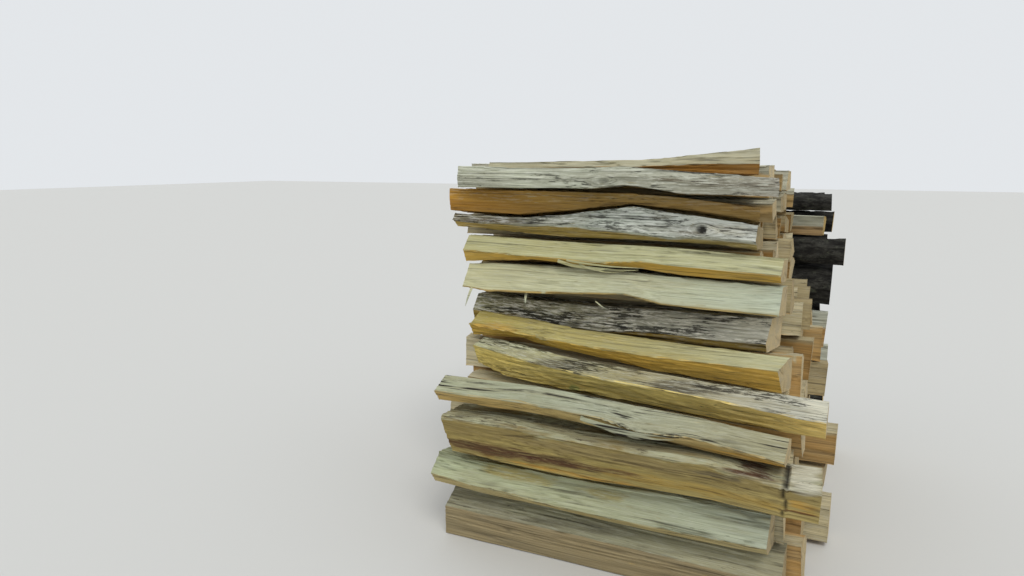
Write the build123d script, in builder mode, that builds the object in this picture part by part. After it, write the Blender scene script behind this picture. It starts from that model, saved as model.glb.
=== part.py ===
"""A heap of split logs about a metre long, laid side by side in courses with the log ends to left and right.
X runs along the logs, Y from the front face of the heap to its back, Z up. The heap stands on Z = 0.
Each log is a loft through sections square to X. It is let down onto the logs already laid."""
from build123d import *
import math
import os
import random

os.makedirs("parts", exist_ok=True)

# Sizes of the heap in mm
log_length = 1000.0
length_spread = 28.0
end_scatter = 30.0
log_width = 116.0
width_spread = 15.0
thin_end = 40.0
most_height = 165.0
course_tops = (148.0, 262.0, 372.0, 480.0, 617.0, 724.0, 828.0, 899.0, 985.0, 1052.0, 1126.0)
sloping = {
    4: ((490.0, 450.0, 112.0), (486.0, 455.0, 118.0)),
    5: ((574.0, 514.0, 84.0),),
    11: ((1108.0, 1106.0, 116.0), (1158.0, 1154.0, 112.0)),
}
split_rear = 1225.0
rear_tops = (150.0, 300.0, 455.0, 610.0, 790.0, 881.0, 968.0, 1040.0)
rear_depth = 215.0

# How far to the right the courses lie, by height
end_shifts = ((0.0, 90.0), (700.0, 30.0), (940.0, -80.0), (1130.0, -80.0))

# Logs that jut out to the right: course and place in it, with X of the right end
jutting = {(1, 3): 652.0, (2, 4): 637.0, (3, 4): 655.0, (4, 7): 610.0, (5, 4): 566.0, (5, 6): 582.0}

# How the logs lie
clearance = 0.4
small = 0.01
push = 20.0
largest_roll = 9.0
roll_count = 1
slide_step = 9.0
slide_count = 5
slide_cost = 0.45
least_share = 0.5
level_scatter = 7.0
bow = 7.0
straight_below = 1000.0
taper = 0.07
crown_share = 0.10
first_lean = 0.12
even_share = 0.6
seed = 20

# Corners of a split log's section as shares of its width and height, anticlockwise seen from the right.
# With them go the corner where the bulging side starts and the corners that lean to one side.
split_sections = {
    "wide down": (((0.0, 0.0), (1.0, 0.06), (0.80, 0.97), (0.26, 1.0)), 0, (2, 3)),
    "wide up": (((0.22, 0.0), (0.76, 0.05), (1.0, 0.94), (0.0, 1.0)), 2, (0, 1)),
    "crown front": (((0.06, 0.0), (0.98, 0.10), (1.0, 0.84), (0.0, 1.0)), 3, ()),
    "crown back": (((0.0, 0.08), (0.94, 0.0), (1.0, 1.0), (0.05, 0.90)), 1, ()),
}

# The same for a halved log with bark, as shares of its thickness and of half its height from its middle
half_section = ((0.34, -1.0), (0.46, 0.9), (-0.10, 1.0), (-0.18, -0.8))
half_crown = 2
half_rise = 0.28

# Flats of a bulging side, and how finely two logs are compared
arc_count = 8
sample_step = 110.0
round_count = 96

chance = random.Random(seed)


def lerp(first, second, share):
    """Value the given share of the way from the first to the second."""
    return first + (second - first) * share


def turned(points, degrees):
    """Section points turned about the section's own middle."""
    middle_y = sum(p[0] for p in points) / len(points)
    middle_z = sum(p[1] for p in points) / len(points)
    c = math.cos(math.radians(degrees))
    s = math.sin(math.radians(degrees))
    return [
        (middle_y + c * (y - middle_y) - s * (z - middle_z), middle_z + s * (y - middle_y) + c * (z - middle_z))
        for y, z in points
    ]


def arc_points(start, end, rise):
    """Corners on the arc from start to end that stands out by rise to the right of the way from start to end.
    The bulging side of a split log is that many flats, as an axe leaves it."""
    chord = math.dist(start, end)
    radius = (chord * chord / 4 + rise * rise) / (2 * rise)
    along = ((end[0] - start[0]) / chord, (end[1] - start[1]) / chord)
    out = (along[1], -along[0])
    middle = ((start[0] + end[0]) / 2 + out[0] * (rise - radius), (start[1] + end[1]) / 2 + out[1] * (rise - radius))
    half = math.asin(min(1.0, chord / (2 * radius)))
    points = []
    for i in range(arc_count + 1):
        angle = half * (2 * i / arc_count - 1)
        points.append(
            (
                middle[0] + radius * (math.cos(angle) * out[0] + math.sin(angle) * along[0]),
                middle[1] + radius * (math.cos(angle) * out[1] + math.sin(angle) * along[1]),
            )
        )
    return points


class Log:
    """A log as sections at places along X. A section is its corner points, anticlockwise seen from the right.
    The crown is the side between two corners that bulges, as the round outside of a split log does."""

    def __init__(self, name, stations, crown=None, rise=0.0, is_round=False):
        self.name = name
        self.stations = stations
        self.crown = crown
        self.rise = rise
        self.is_round = is_round
        self.dy = 0.0
        self.dz = 0.0
        self.fine = [(x, self.outline(points)) for x, points in stations]

    def outline(self, points):
        """All corners of the section, with those of its bulging side. A round log is compared by its chords."""
        if self.is_round:
            (middle_y, middle_z), (half_y, _), (_, half_z) = points
            return [
                (
                    middle_y + half_y * math.cos(math.tau * i / round_count),
                    middle_z + half_z * math.sin(math.tau * i / round_count),
                )
                for i in range(round_count)
            ]
        if self.crown is None:
            return points
        first = points[self.crown]
        second = points[(self.crown + 1) % len(points)]
        curved = arc_points(first, second, self.rise)
        rest = [points[(self.crown + 2 + i) % len(points)] for i in range(len(points) - 2)]
        return curved + rest

    def section(self, x):
        """The comparison outline at x, in place."""
        for (x0, a), (x1, b) in zip(self.fine, self.fine[1:]):
            if x <= x1 or x1 == self.fine[-1][0]:
                share = (x - x0) / (x1 - x0)
                return [(lerp(p[0], q[0], share) + self.dy, lerp(p[1], q[1], share) + self.dz) for p, q in zip(a, b)]

    def ends(self):
        """X of the left end and of the right end."""
        return self.stations[0][0], self.stations[-1][0]

    def reach(self, axis):
        """Least and greatest Y (axis 0) or Z (axis 1), in place."""
        shift = self.dz if axis else self.dy
        values = [p[axis] for _, points in self.fine for p in points]
        return min(values) + shift, max(values) + shift

    def centre_height(self):
        """Mean height of the outline at the two ends and between them."""
        values = [p[1] for _, points in self.fine for p in points]
        return sum(values) / len(values) + self.dz

    def rolled(self, degrees):
        """The same log turned about its own length."""
        if self.is_round:
            return self
        return Log(self.name, [(x, turned(p, degrees)) for x, p in self.stations], self.crown, self.rise)


def heights_at(outline, y):
    """Lowest and highest Z of a convex outline at y."""
    found = []
    for (y0, z0), (y1, z1) in zip(outline, outline[1:] + outline[:1]):
        if min(y0, y1) <= y <= max(y0, y1):
            found.extend((z0, z1) if y0 == y1 else (lerp(z0, z1, (y - y0) / (y1 - y0)),))
    return min(found), max(found)


def sample_places(first, second):
    """Places along X at which two logs are compared: their shared ends, their stations and steps between."""
    low = max(first.ends()[0], second.ends()[0])
    high = min(first.ends()[1], second.ends()[1])
    if high <= low:
        return []
    steps = max(2, math.ceil((high - low) / sample_step))
    places = {low + (high - low) * i / steps for i in range(steps + 1)}
    places.update(x for log in (first, second) for x, _ in log.stations if low < x < high)
    return sorted(places)


def spacing(upper, lower):
    """How far the first log has to move up, and how far down, to come level with the other, at each shared place."""
    found = []
    for x in sample_places(upper, lower):
        a = upper.section(x)
        b = lower.section(x)
        a_low, a_high = min(p[0] for p in a), max(p[0] for p in a)
        b_low, b_high = min(p[0] for p in b), max(p[0] for p in b)
        low = max(a_low, b_low) - clearance
        high = min(a_high, b_high) + clearance
        if high <= low:
            continue
        rise = sink = None
        for y in [low, high] + [p[0] for p in a + b if low < p[0] < high]:
            a_bottom, a_top = heights_at(a, min(max(y, a_low), a_high))
            b_bottom, b_top = heights_at(b, min(max(y, b_low), b_high))
            rise = b_top - a_bottom if rise is None else max(rise, b_top - a_bottom)
            sink = a_top - b_bottom if sink is None else max(sink, a_top - b_bottom)
        found.append((rise, sink))
    return found


def neighbours(log, laid):
    """The laid logs that share some depth of the heap with the log."""
    y0, y1 = log.reach(0)
    return [other for other in laid if other.reach(0)[0] < y1 + clearance and other.reach(0)[1] > y0 - clearance]


def let_down(log, laid):
    """Set the log on the ground or on the logs already laid, whichever it meets first on its way down."""
    log.dz = 0.0
    bottom = log.reach(1)[0]
    lift = -bottom
    for other in sorted(neighbours(log, laid), key=lambda item: -item.reach(1)[1]):
        if other.reach(1)[1] - bottom + clearance <= lift:
            break
        for rise, _ in spacing(log, other):
            lift = max(lift, rise + clearance)
    log.dz = lift
    return log


def stands_clear(log, laid):
    """Whether the log keeps its clearance above or below each neighbour."""
    z0, z1 = log.reach(1)
    for other in neighbours(log, laid):
        if other.reach(1)[0] > z1 + clearance or other.reach(1)[1] < z0 - clearance:
            continue
        if any(min(rise, sink) > small - clearance for rise, sink in spacing(log, other)):
            return False
    return True


def push_up_to(log, laid, reach):
    """Push the log towards the front until it meets a neighbour, then let it sink onto what is below."""
    step = reach
    while step > clearance / 2:
        log.dy -= step
        if not stands_clear(log, laid):
            log.dy += step
        step /= 2
    fall = log.reach(1)[0]
    for other in neighbours(log, laid):
        for rise, sink in spacing(log, other):
            if rise < sink:
                fall = min(fall, -rise - clearance)
    log.dz -= max(0.0, fall)
    return log


def face_log(name, left, front, brow, heel, depth, fall, keel, swing, run, length=1.0):
    """A log of the front face from its own shape. Its foremost edge is at front, its top front edge is set back by
    brow and its bottom front edge by heel. The top drops by fall and the underside by keel towards the back.
    Swing is how much nearer the right end is. A row of run is a place as a share of the length, the height of the
    underside, the height of the log and the share of that height at which the foremost edge lies."""
    stations = []
    for share, low, height, edge in run:
        x = left + share * length * log_length
        y = front - (share - 0.5) * swing
        stations.append(
            (
                x,
                [
                    (y + heel, low),
                    (y + depth, low - keel),
                    (y + depth, low + height - fall),
                    (y + brow, low + height),
                    (y, low + height * edge),
                ],
            )
        )
    return Log(name, stations)


def end_shift(level):
    """How far to the right the logs at a height lie."""
    for (z0, shift0), (z1, shift1) in zip(end_shifts, end_shifts[1:]):
        if level <= z1:
            return lerp(shift0, shift1, (level - z0) / (z1 - z0))
    return end_shifts[-1][1]


def split_log(name, y, width, height, kind, level, drop=0.0, right=None):
    """A plain split log of the given width and height that stands at y, with a little taper and, near the top of the
    heap, a little bow. Drop is how much less high its right end is. Right is X of the right end, where that isn't left
    to chance."""
    length = log_length + chance.uniform(-length_spread, length_spread)
    left = chance.uniform(-end_scatter, end_scatter) - length / 2 + end_shift(level)
    if right is not None:
        left = right - length
    bow_y = chance.uniform(-bow, bow)
    bow_z = chance.uniform(-bow, bow) / 2
    thin = chance.uniform(-taper, taper) if drop == 0 else 0.0
    lean = chance.uniform(-first_lean, first_lean)
    corners, crown, leaning = split_sections[kind]
    shares = [(u + lean if i in leaning else u, v) for i, (u, v) in enumerate(corners)]
    stations = []
    for share in (0.0, 0.5, 1.0) if level > straight_below else (0.0, 1.0):
        scale = 1 + thin * (share - 0.5) * 2
        tall = height * scale - drop * share
        arch = 1 - abs(2 * share - 1)
        points = [(y + bow_y * arch + width * scale * u, bow_z * arch + tall * v) for u, v in shares]
        stations.append((left + share * length, points))
    return Log(name, stations, crown, crown_share * min(width, height))


def bark_log(name, y, width, height, is_round, right):
    """A log with its bark on, round or halved with the flat side to the back."""
    length = log_length + chance.uniform(-length_spread, length_spread)
    bow_y = 0.0 if is_round else chance.uniform(0.0, bow)
    thick = (width - bow_y) / (1 + taper / 2)
    stations = []
    for share in (0.0, 1.0) if is_round else (0.0, 0.5, 1.0):
        x = right - length + share * length
        scale = 1 - taper * (share - 0.5)
        middle = y + width / 2 + bow_y * (0.5 - abs(2 * share - 1))
        half = scale * height / 2
        if is_round:
            points = [(middle, height / 2), (scale * thick / 2, 0.0), (0.0, half)]
        else:
            points = [(middle + thick * u, height / 2 + half * v) for u, v in half_section]
        stations.append((x, points))
    if is_round:
        return Log(name, stations, is_round=True)
    return Log(name, stations, half_crown, thick * half_rise)


def best_rest(make, laid, y_least, y, level, y_end):
    """Try the log at several places and turns near y, between y_least and y_end, and keep the lowest, nearest rest."""
    best = None
    for slide in range(slide_count):
        back = y + slide_step * (slide - slide_count + 2)
        for step in range(-roll_count, roll_count + 1):
            trial = make.rolled(largest_roll * step / roll_count)
            trial.dy = max(y_least - trial.reach(0)[0], min(back - trial.reach(0)[0], y_end - trial.reach(0)[1]))
            let_down(trial, laid)
            cost = trial.centre_height() + slide_cost * trial.dy + max(0.0, trial.reach(1)[1] - level - level_scatter)
            if best is None or cost < best[0]:
                best = (cost, trial)
    return best[1]


def fitted(make, y_least, y, height, top, laid, y_end):
    """The log that make gives for a height, made as high as it takes to come up to top where it rests."""
    state = chance.getstate()
    for _ in range(2):
        chance.setstate(state)
        log = make(height)
        log.dy = y - log.reach(0)[0]
        let_down(log, laid)
        height = min(most_height, max(thin_end, height + top - log.reach(1)[1]))
    chance.setstate(state)
    return push_up_to(best_rest(make(height), laid, y_least, y, top, y_end), laid, push)


def fill_course(number, level, y_start, y_end, laid):
    """Lay split logs side by side from y_start until the course reaches y_end. Each is picked to come up level."""
    kinds = list(split_sections)
    made = []
    y = y_start
    while y_end - y > log_width * least_share:
        places = max(1, round((y_end - y) / log_width))
        width = (y_end - y) / places + (chance.uniform(-width_spread, width_spread) if places > 1 else -bow)
        kind = kinds[len(made) % 2] if chance.random() < even_share else chance.choice(kinds)
        top = level + chance.uniform(-level_scatter, level_scatter)
        drop = 0.0
        if len(made) < len(sloping.get(number, ())):
            left_top, right_top, width = sloping[number][len(made)]
            top = left_top
            drop = left_top - right_top

        right = jutting.get((number, len(made) + 1))

        def make(height):
            name = f"course_{number:02d}"
            return split_log(name, y, width, max(height, thin_end + drop), kind, level, drop, right)

        log = fitted(make, y - slide_step * (slide_count - 2), y, log_width, top, laid + made, y_end)
        made.append(log)
        y = log.reach(0)[1] + clearance
    return made


def carve(log, middle_x, middle_y):
    """The log as a solid: a loft through its sections, moved so that the heap's middle is at the origin."""
    with BuildPart() as solid:
        for x, points in log.stations:
            with BuildSketch(Plane.YZ.offset(x - middle_x)):
                if log.is_round:
                    with Locations((points[0][0] + log.dy - middle_y, points[0][1] + log.dz)):
                        Ellipse(points[1][0], points[2][1])
                else:
                    with BuildLine():
                        Polyline([(y + log.dy - middle_y, z + log.dz) for y, z in log.outline(points)], close=True)
                    make_face()
        loft(ruled=True)
    return solid.part


def front_logs():
    """The logs of the front face, course by course from the ground up, each with its place and shape."""
    return [
        [face_log("front_log_01", -441, 100, 64, 12, 150, 12, 0, 0,
                  [(0.0, 0, 140, 0.70), (0.45, 0, 150, 0.66), (1.0, 0, 146, 0.6)])],
        [face_log("front_log_02", -474, 70, 50, 30, 128, 8, 14, 10,
                  [(0.0, 172, 96, 0.40), (0.16, 165, 98, 0.34), (0.45, 162, 100, 0.27), (0.70, 162, 110, 0.24),
                   (1.0, 164, 106, 0.32)])],
        [face_log("front_log_03", -400, 0, 8, 66, 142, 6, 24, 40,
                  [(0.0, 292, 138, 0.88), (0.17, 287, 152, 0.88), (0.40, 285, 148, 0.9), (0.55, 293, 142, 0.88),
                   (0.75, 302, 138, 0.86), (0.9, 298, 120, 0.86), (1.0, 300, 122, 0.88)], 1.04)],
        [face_log("front_log_04", -440, 20, 80, 30, 120, 14, 4, 40,
                  [(0.0, 446, 68, 0.56), (0.30, 452, 70, 0.60), (0.53, 446, 68, 0.6), (0.64, 438, 70, 0.40),
                   (0.77, 434, 70, 0.60), (1.0, 428, 60, 0.40)])],
        [face_log("front_log_05", -391, 178, 90, 40, 130, 26, 4, 50,
                  [(0.0, 528, 79, 0.90), (0.10, 497, 103, 0.85), (0.24, 486, 97, 0.80), (0.42, 482, 88, 0.77),
                   (0.66, 469, 93, 0.77), (1.0, 459, 93, 0.65)], 1.025)],
        [face_log("front_log_06", -459, 270, 90, 40, 112, 4, 4, 40,
                  [(0.0, 582, 77, 0.63), (0.18, 590, 60, 0.50), (0.33, 570, 66, 0.56), (0.60, 545, 82, 0.65),
                   (1.0, 528, 92, 0.79)]),
         face_log("front_log_07", -498, 394, 36, 14, 120, 6, 0, 20,
                  [(0.0, 620, 95, 0.45), (0.31, 616, 92, 0.22), (0.48, 616, 91, 0.18), (0.61, 620, 92, 0.28),
                   (1.0, 615, 104, 0.30)], 0.989)],
        [face_log("front_log_08", -488, 320, 50, 0, 140, 10, 22, 0,
                  [(0.0, 752, 76, 0.10), (0.09, 743, 90, 0.10), (0.29, 750, 86, 0.12), (0.55, 768, 66, 0.12),
                   (0.67, 746, 82, 0.10), (1.0, 740, 80, 0.10)], 0.986)],
        [face_log("front_log_09", -505, 340, 50, 30, 128, 8, 6, 0,
                  [(0.0, 826, 92, 0.49), (0.24, 844, 68, 0.24), (0.48, 836, 72, 0.24), (0.60, 836, 74, 0.40),
                   (0.72, 825, 82, 0.40), (1.0, 820, 72, 0.37)])],
        [face_log("front_log_10", -571, 400, 20, 40, 122, 22, 4, 0,
                  [(0.0, 930, 53, 0.50), (0.26, 916, 58, 0.58), (0.41, 910, 80, 0.58), (0.63, 912, 107, 0.24),
                   (0.74, 910, 96, 0.18), (0.86, 906, 86, 0.33), (1.0, 898, 79, 0.38)], 0.988)],
        [face_log("front_log_11", -580, 400, 4, 6, 120, 4, 14, 0,
                  [(0.0, 980, 78, 0.50), (0.26, 974, 82, 0.50), (0.42, 992, 62, 0.50), (0.63, 1018, 34, 0.50),
                   (0.75, 1008, 38, 0.5), (1.0, 980, 42, 0.50)])],
        [face_log("front_log_12", -516, 340, 10, 6, 118, 6, 4, 0,
                  [(0.0, 1062, 73, 0.45), (0.33, 1063, 66, 0.45), (0.46, 1063, 68, 0.5), (0.56, 1076, 60, 0.5),
                   (0.66, 1067, 62, 0.5), (0.75, 1054, 69, 0.5), (1.0, 1050, 58, 0.5)], 0.988)],
        [face_log("top_log_01", -478, 476, 20, 10, 86, 6, 4, 0,
                  [(0.0, 1112, 40, 0.50), (0.6, 1116, 44, 0.50), (0.85, 1114, 66, 0.5), (1.0, 1112, 82, 0.42)], 0.88)],
    ]


# Logs of each rear course from the ground up: shape, share of the rear strip's depth, X of the right end
rear_plan = (
    (("round", 0.52, 560.0), ("round", 0.48, 610.0)),
    (("round", 0.54, 590.0), ("half", 0.46, 540.0)),
    (("split", 0.5, 560.0), ("split", 0.5, 590.0)),
    (("split", 0.45, 585.0), ("round", 0.55, 560.0)),
    (("half", 1.0, 590.0),),
    (("round", 0.5, 626.0), ("round", 0.5, 560.0)),
    (("split", 0.5, 553.0), ("round", 0.5, 575.0)),
    (("round", 0.5, 570.0), ("round", 0.5, 540.0)),
)


def build_heap():
    """Lay every log from the ground up and give them back by the node they belong to."""
    nodes = {}
    laid = []

    def lay(log):
        laid.append(log)
        nodes.setdefault(log.name, []).append(log)

    for number, fronts in enumerate(front_logs(), start=1):
        for front in fronts:
            lay(let_down(front, laid))
        if number > len(course_tops):
            continue
        back = fronts[-1].reach(0)[1] + clearance
        for log in fill_course(number, course_tops[number - 1], back, split_rear, laid):
            lay(log)
    counts = {"rear_log": 0, "bark_log": 0}
    for level, course in zip(rear_tops, rear_plan):
        y = split_rear + clearance
        rear = y + rear_depth
        for shape, share, right in course:
            stem = "rear_log" if shape == "split" else "bark_log"
            counts[stem] += 1
            name = f"{stem}_{counts[stem]:02d}"
            width = min(share * rear_depth, rear - y)

            def make(height):
                if shape == "split":
                    return split_log(name, y, width, height, "wide up", level, right=right)
                return bark_log(name, y, width, height, shape == "round", right)

            lay(fitted(make, y, y, width, level, laid, rear))
            y = laid[-1].reach(0)[1] + clearance
    return nodes


nodes = build_heap()
every = [log for logs in nodes.values() for log in logs]
middle_x = (min(log.ends()[0] for log in every) + max(log.ends()[1] for log in every)) / 2
middle_y = (min(log.reach(0)[0] for log in every) + max(log.reach(0)[1] for log in every)) / 2
for label, logs in nodes.items():
    solids = [carve(log, middle_x, middle_y) for log in logs]
    if len(solids) == 1:
        piece = solids[0]
    else:
        with BuildPart() as course:
            for solid in solids:
                add(solid)
        piece = course.part
    piece.label = label
    export_step(piece, f"parts/{label}.step")
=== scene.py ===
"""Looks of a heap of split logs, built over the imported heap.

Every log of the heap is cut again into rings of points that follow its own solid. The rings are then
roughened inwards: fibres and ledges where the log was split, checks where it dried, plates where it still
has its bark. Slivers are scattered over the front logs. X runs along the logs, Y from the front face to the
back, Z up, and lengths are in metres.
"""

import logging
import math
from dataclasses import dataclass, field
from enum import Enum

import bpy
import numpy as np
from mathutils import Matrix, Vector


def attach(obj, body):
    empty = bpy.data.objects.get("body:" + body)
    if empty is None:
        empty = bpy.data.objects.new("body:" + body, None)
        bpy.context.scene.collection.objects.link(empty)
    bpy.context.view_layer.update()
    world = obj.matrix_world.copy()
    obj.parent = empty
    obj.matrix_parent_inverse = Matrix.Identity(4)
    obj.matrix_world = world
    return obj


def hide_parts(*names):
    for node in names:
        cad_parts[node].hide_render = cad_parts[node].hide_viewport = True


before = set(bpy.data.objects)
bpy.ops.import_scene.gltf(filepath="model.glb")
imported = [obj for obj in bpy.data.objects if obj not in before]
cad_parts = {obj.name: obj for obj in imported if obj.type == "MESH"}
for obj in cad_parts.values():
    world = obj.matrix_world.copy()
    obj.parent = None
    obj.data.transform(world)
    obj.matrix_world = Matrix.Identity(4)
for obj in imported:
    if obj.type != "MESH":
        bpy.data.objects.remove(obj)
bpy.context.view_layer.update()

TINY = 1e-9

Rgb = tuple[float, float, float]
Span = tuple[float, float]
Face = tuple[int, ...]
Socket = bpy.types.NodeSocket

logger = logging.getLogger("heap_of_logs")


def tone(red: float, green: float, blue: float) -> Rgb:
    """Linear red, green and blue of a colour that is given as seen, from 0 to 255."""
    parts = [channel / 255 for channel in (red, green, blue)]
    return tuple(c / 12.92 if c <= 0.04045 else ((c + 0.055) / 1.055) ** 2.4 for c in parts)


class Slot(Enum):
    """Material slots of the record."""

    WEATHERED = "weathered_split_wood"
    SPLIT = "split_wood"
    BARK = "bark_wood"


class Surface(Enum):
    """Kinds of surface on a log, in the order of a piece's materials."""

    SPLIT = 0
    SAWN = 1
    BARK = 2


class Mark(Enum):
    """Numbers that every point of a log carries for its finish to read. Along runs from its left end to its
    right end, and rise from its lowest to its highest point."""

    UNDER = "under"
    CHECK = "check"
    KNOT = "knot"
    STAIN = "stain"
    TINT = "tint"
    FRAY = "fray"
    ALONG = "along"
    RISE = "rise"


class Way(Enum):
    """Vectors that every point of a log carries: its place in the run of the grain, the way to it from the
    pith, and the colour of the stain there."""

    GRAIN = "grain"
    PITH = "pith"
    PAINT = "paint"


# Noise of the shapes: spreading and scrambling numbers of a hash, which only have to be large and odd
SPREAD = np.array((374761393, 668265263, 1442695041))
SEED_SPREAD = 974634777
SCRAMBLE = ((13, 1274126177), (15, 668265263))
WORD = 0xFFFFFFFF
FRACTION = 0xFFFFFF


def lattice(cell: np.ndarray, seed: int) -> np.ndarray:
    """Repeatable random numbers for whole-number places.

    Args:
        cell: Whole-number places, one row each.
        seed: Picks the set of numbers.

    Returns:
        One number from 0 to 1 for each row.
    """
    mixed = (cell @ SPREAD + seed * SEED_SPREAD) & WORD
    for shift, factor in SCRAMBLE:
        mixed = ((mixed ^ (mixed >> shift)) * factor) & WORD
    return ((mixed ^ (mixed >> 16)) & FRACTION) / FRACTION


def noise(places: np.ndarray, seed: int) -> np.ndarray:
    """Smooth noise with features one unit across.

    Args:
        places: Points, one row each.
        seed: Picks the pattern.

    Returns:
        One number from 0 to 1 for each point.
    """
    floor = np.floor(places)
    cell = floor.astype(np.int64)
    share = places - floor
    share = share * share * (3 - 2 * share)
    total = np.zeros(len(places))
    for corner in np.ndindex(2, 2, 2):
        weight = np.prod(np.where(corner, share, 1 - share), axis=1)
        total += weight * lattice(cell + np.array(corner), seed)
    return total


def layered(places: np.ndarray, seed: int, layers: int) -> np.ndarray:
    """Noise with finer and weaker noise added on top.

    Args:
        places: Points, one row each.
        seed: Picks the pattern.
        layers: How many noises there are.

    Returns:
        One number from 0 to 1 for each point.
    """
    total = np.zeros(len(places))
    reach = 0.0
    for layer in range(layers):
        total += noise(places * 2.0**layer, seed + 17 * layer) * 0.5**layer
        reach += 0.5**layer
    return total / reach


def smooth(value: np.ndarray, low: float, high: float) -> np.ndarray:
    """Soft step from 0 at low to 1 at high."""
    share = np.clip((value - low) / (high - low), 0, 1)
    return share * share * (3 - 2 * share)


@dataclass(frozen=True)
class Swell:
    """Noise of the shapes that is stretched along the grain.

    Attributes:
        along: Size of its features along the grain.
        across: Their size across it.
        shift: Added to a log's own seed.
        layers: How many noises are in it.
    """

    along: float
    across: float
    shift: int
    layers: int = 2

    def at(self, places: np.ndarray, seed: int) -> np.ndarray:
        """The noise at places in the run of the grain, from 0 to 1."""
        size = np.array((self.along, self.across, self.across))
        return layered(places / size, seed + self.shift, self.layers)


EDGE_JITTER = Swell(0.05, 0.02, 3, 1)
KNOT_EDGE = Swell(0.012, 0.012, 7, 1)
STAIN_EDGE = Swell(0.05, 0.010, 9, 3)
FIBRES = Swell(0.16, 0.0075, 11)
LEDGES = Swell(0.45, 0.034, 13)
HOLLOWS = Swell(0.30, 0.07, 15, 1)
CHECK_LINES = Swell(0.24, 0.011, 19, 1)
CHECK_ZONES = Swell(0.22, 0.05, 21, 1)
BARK_PLATES = Swell(0.075, 0.020, 23)
BARK_SCALES = Swell(0.020, 0.009, 25)


@dataclass(frozen=True)
class Grid:
    """How finely a log is cut into rings.

    Attributes:
        rings: Number of rings along the log.
        fine: Spacing round the log where it is seen.
        coarse: Spacing round the log where it is hidden.
        crowding: How much closer the rings lie near the ends, from 0.
    """

    rings: int
    fine: float
    coarse: float
    crowding: float = 0.0


@dataclass(frozen=True)
class Relief:
    """How deep a log's surface is worked in.

    Attributes:
        fibre: Depth of the fibres that a split leaves.
        ledge: Depth of the long steps between split layers.
        sag: Depth of the broad hollows.
        check: Depth of the drying cracks.
        plate: Depth of the furrows between plates of bark.
        cut: Greatest slant of a sawn end, as a slope.
    """

    fibre: float = 0.0016
    ledge: float = 0.0030
    sag: float = 0.0040
    check: float = 0.0040
    plate: float = 0.0
    cut: float = 0.06


@dataclass(frozen=True)
class Spot:
    """A place on the front of a log.

    Attributes:
        x: Place along the heap.
        z: Height of its middle.
        length: Its half-width along the log.
        height: Its half-height.
    """

    x: float
    z: float
    length: float
    height: float

    def shares(self, flat: np.ndarray) -> tuple[np.ndarray, np.ndarray]:
        """Way from its middle to each point, as shares of its length and of its height."""
        return (flat[:, 0] - self.x) / self.length, (flat[:, 2] - self.z) / self.height


@dataclass(frozen=True)
class Knot(Spot):
    """A knot, a hole or, where it is narrow, a crack.

    Attributes:
        depth: How deep it goes in.
        darkness: How dark it is, from 0 to 1.
    """

    depth: float
    darkness: float = 1.0


@dataclass(frozen=True)
class Patch(Spot):
    """A stained or lichened patch.

    Attributes:
        colour: Its colour.
        strength: How much it covers, from 0 to 1.
    """

    colour: Rgb
    strength: float = 0.8


@dataclass(frozen=True)
class Shaping:
    """What is special about one log.

    Attributes:
        knots: Knots on its front.
        patches: Stains on its front.
        edge_drop: How far below its foremost edge the fresh wood starts.
        right_slant: How much shorter its back is at the right end, as a slope.
        left_slant: The same at the left end.
    """

    knots: tuple[Knot, ...] = ()
    patches: tuple[Patch, ...] = ()
    edge_drop: float = 0.0
    right_slant: float | None = None
    left_slant: float | None = None


@dataclass
class Solid:
    """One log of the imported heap, as a bare triangle mesh.

    Attributes:
        points: Its corner points.
        edges: Pairs of point numbers.
    """

    points: np.ndarray
    edges: np.ndarray

    def ends(self) -> Span:
        """X of the left end and of the right end."""
        return float(self.points[:, 0].min()), float(self.points[:, 0].max())

    def outline(self, x: float, least_side: float = 0.0003) -> np.ndarray:
        """The log's section at x as a ring of corners round its middle.

        Args:
            x: Place along the log.
            least_side: Corners that lie closer to the last one are left out.

        Returns:
            Rows of Y and Z, in order round the section.
        """
        a = self.points[self.edges[:, 0]]
        b = self.points[self.edges[:, 1]]
        crossing = (a[:, 0] < x) != (b[:, 0] < x)
        a, b = a[crossing], b[crossing]
        share = (x - a[:, 0]) / (b[:, 0] - a[:, 0])
        ring = a[:, 1:] + (b[:, 1:] - a[:, 1:]) * share[:, None]
        middle = (ring.min(0) + ring.max(0)) / 2
        ring = ring[np.argsort(np.arctan2(ring[:, 1] - middle[1], ring[:, 0] - middle[0]))]
        return ring[np.linalg.norm(ring - np.roll(ring, 1, axis=0), axis=1) > least_side]


def solids_of(cad: bpy.types.Object) -> list[Solid]:
    """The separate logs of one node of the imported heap.

    Args:
        cad: The node's own object, which is only read.

    Returns:
        The logs, from the front of the heap to its back.
    """
    mesh = cad.data
    points = np.zeros(len(mesh.vertices) * 3)
    mesh.vertices.foreach_get("co", points)
    mesh.calc_loop_triangles()
    corners = np.zeros(len(mesh.loop_triangles) * 3, np.int32)
    mesh.loop_triangles.foreach_get("vertices", corners)
    merged, number = np.unique(np.round(points.reshape(-1, 3), 5), axis=0, return_inverse=True)
    triangles = number.reshape(-1)[corners].reshape(-1, 3)
    root = np.arange(len(merged))
    before = None
    while before is None or (root != before).any():
        least = root[triangles].min(1)
        before = root.copy()
        for column in range(3):
            np.minimum.at(root, triangles[:, column], least)
        root = root[root]
    found = []
    for name in np.unique(root[triangles[:, 0]]):
        own = triangles[root[triangles[:, 0]] == name]
        edges = np.unique(np.sort(np.concatenate([own[:, :2], own[:, 1:], own[:, ::2]]), axis=1), axis=0)
        used = np.unique(edges)
        found.append(Solid(merged[used], np.searchsorted(used, edges)))
    return sorted(found, key=lambda log: log.points[:, 1].mean())


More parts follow.
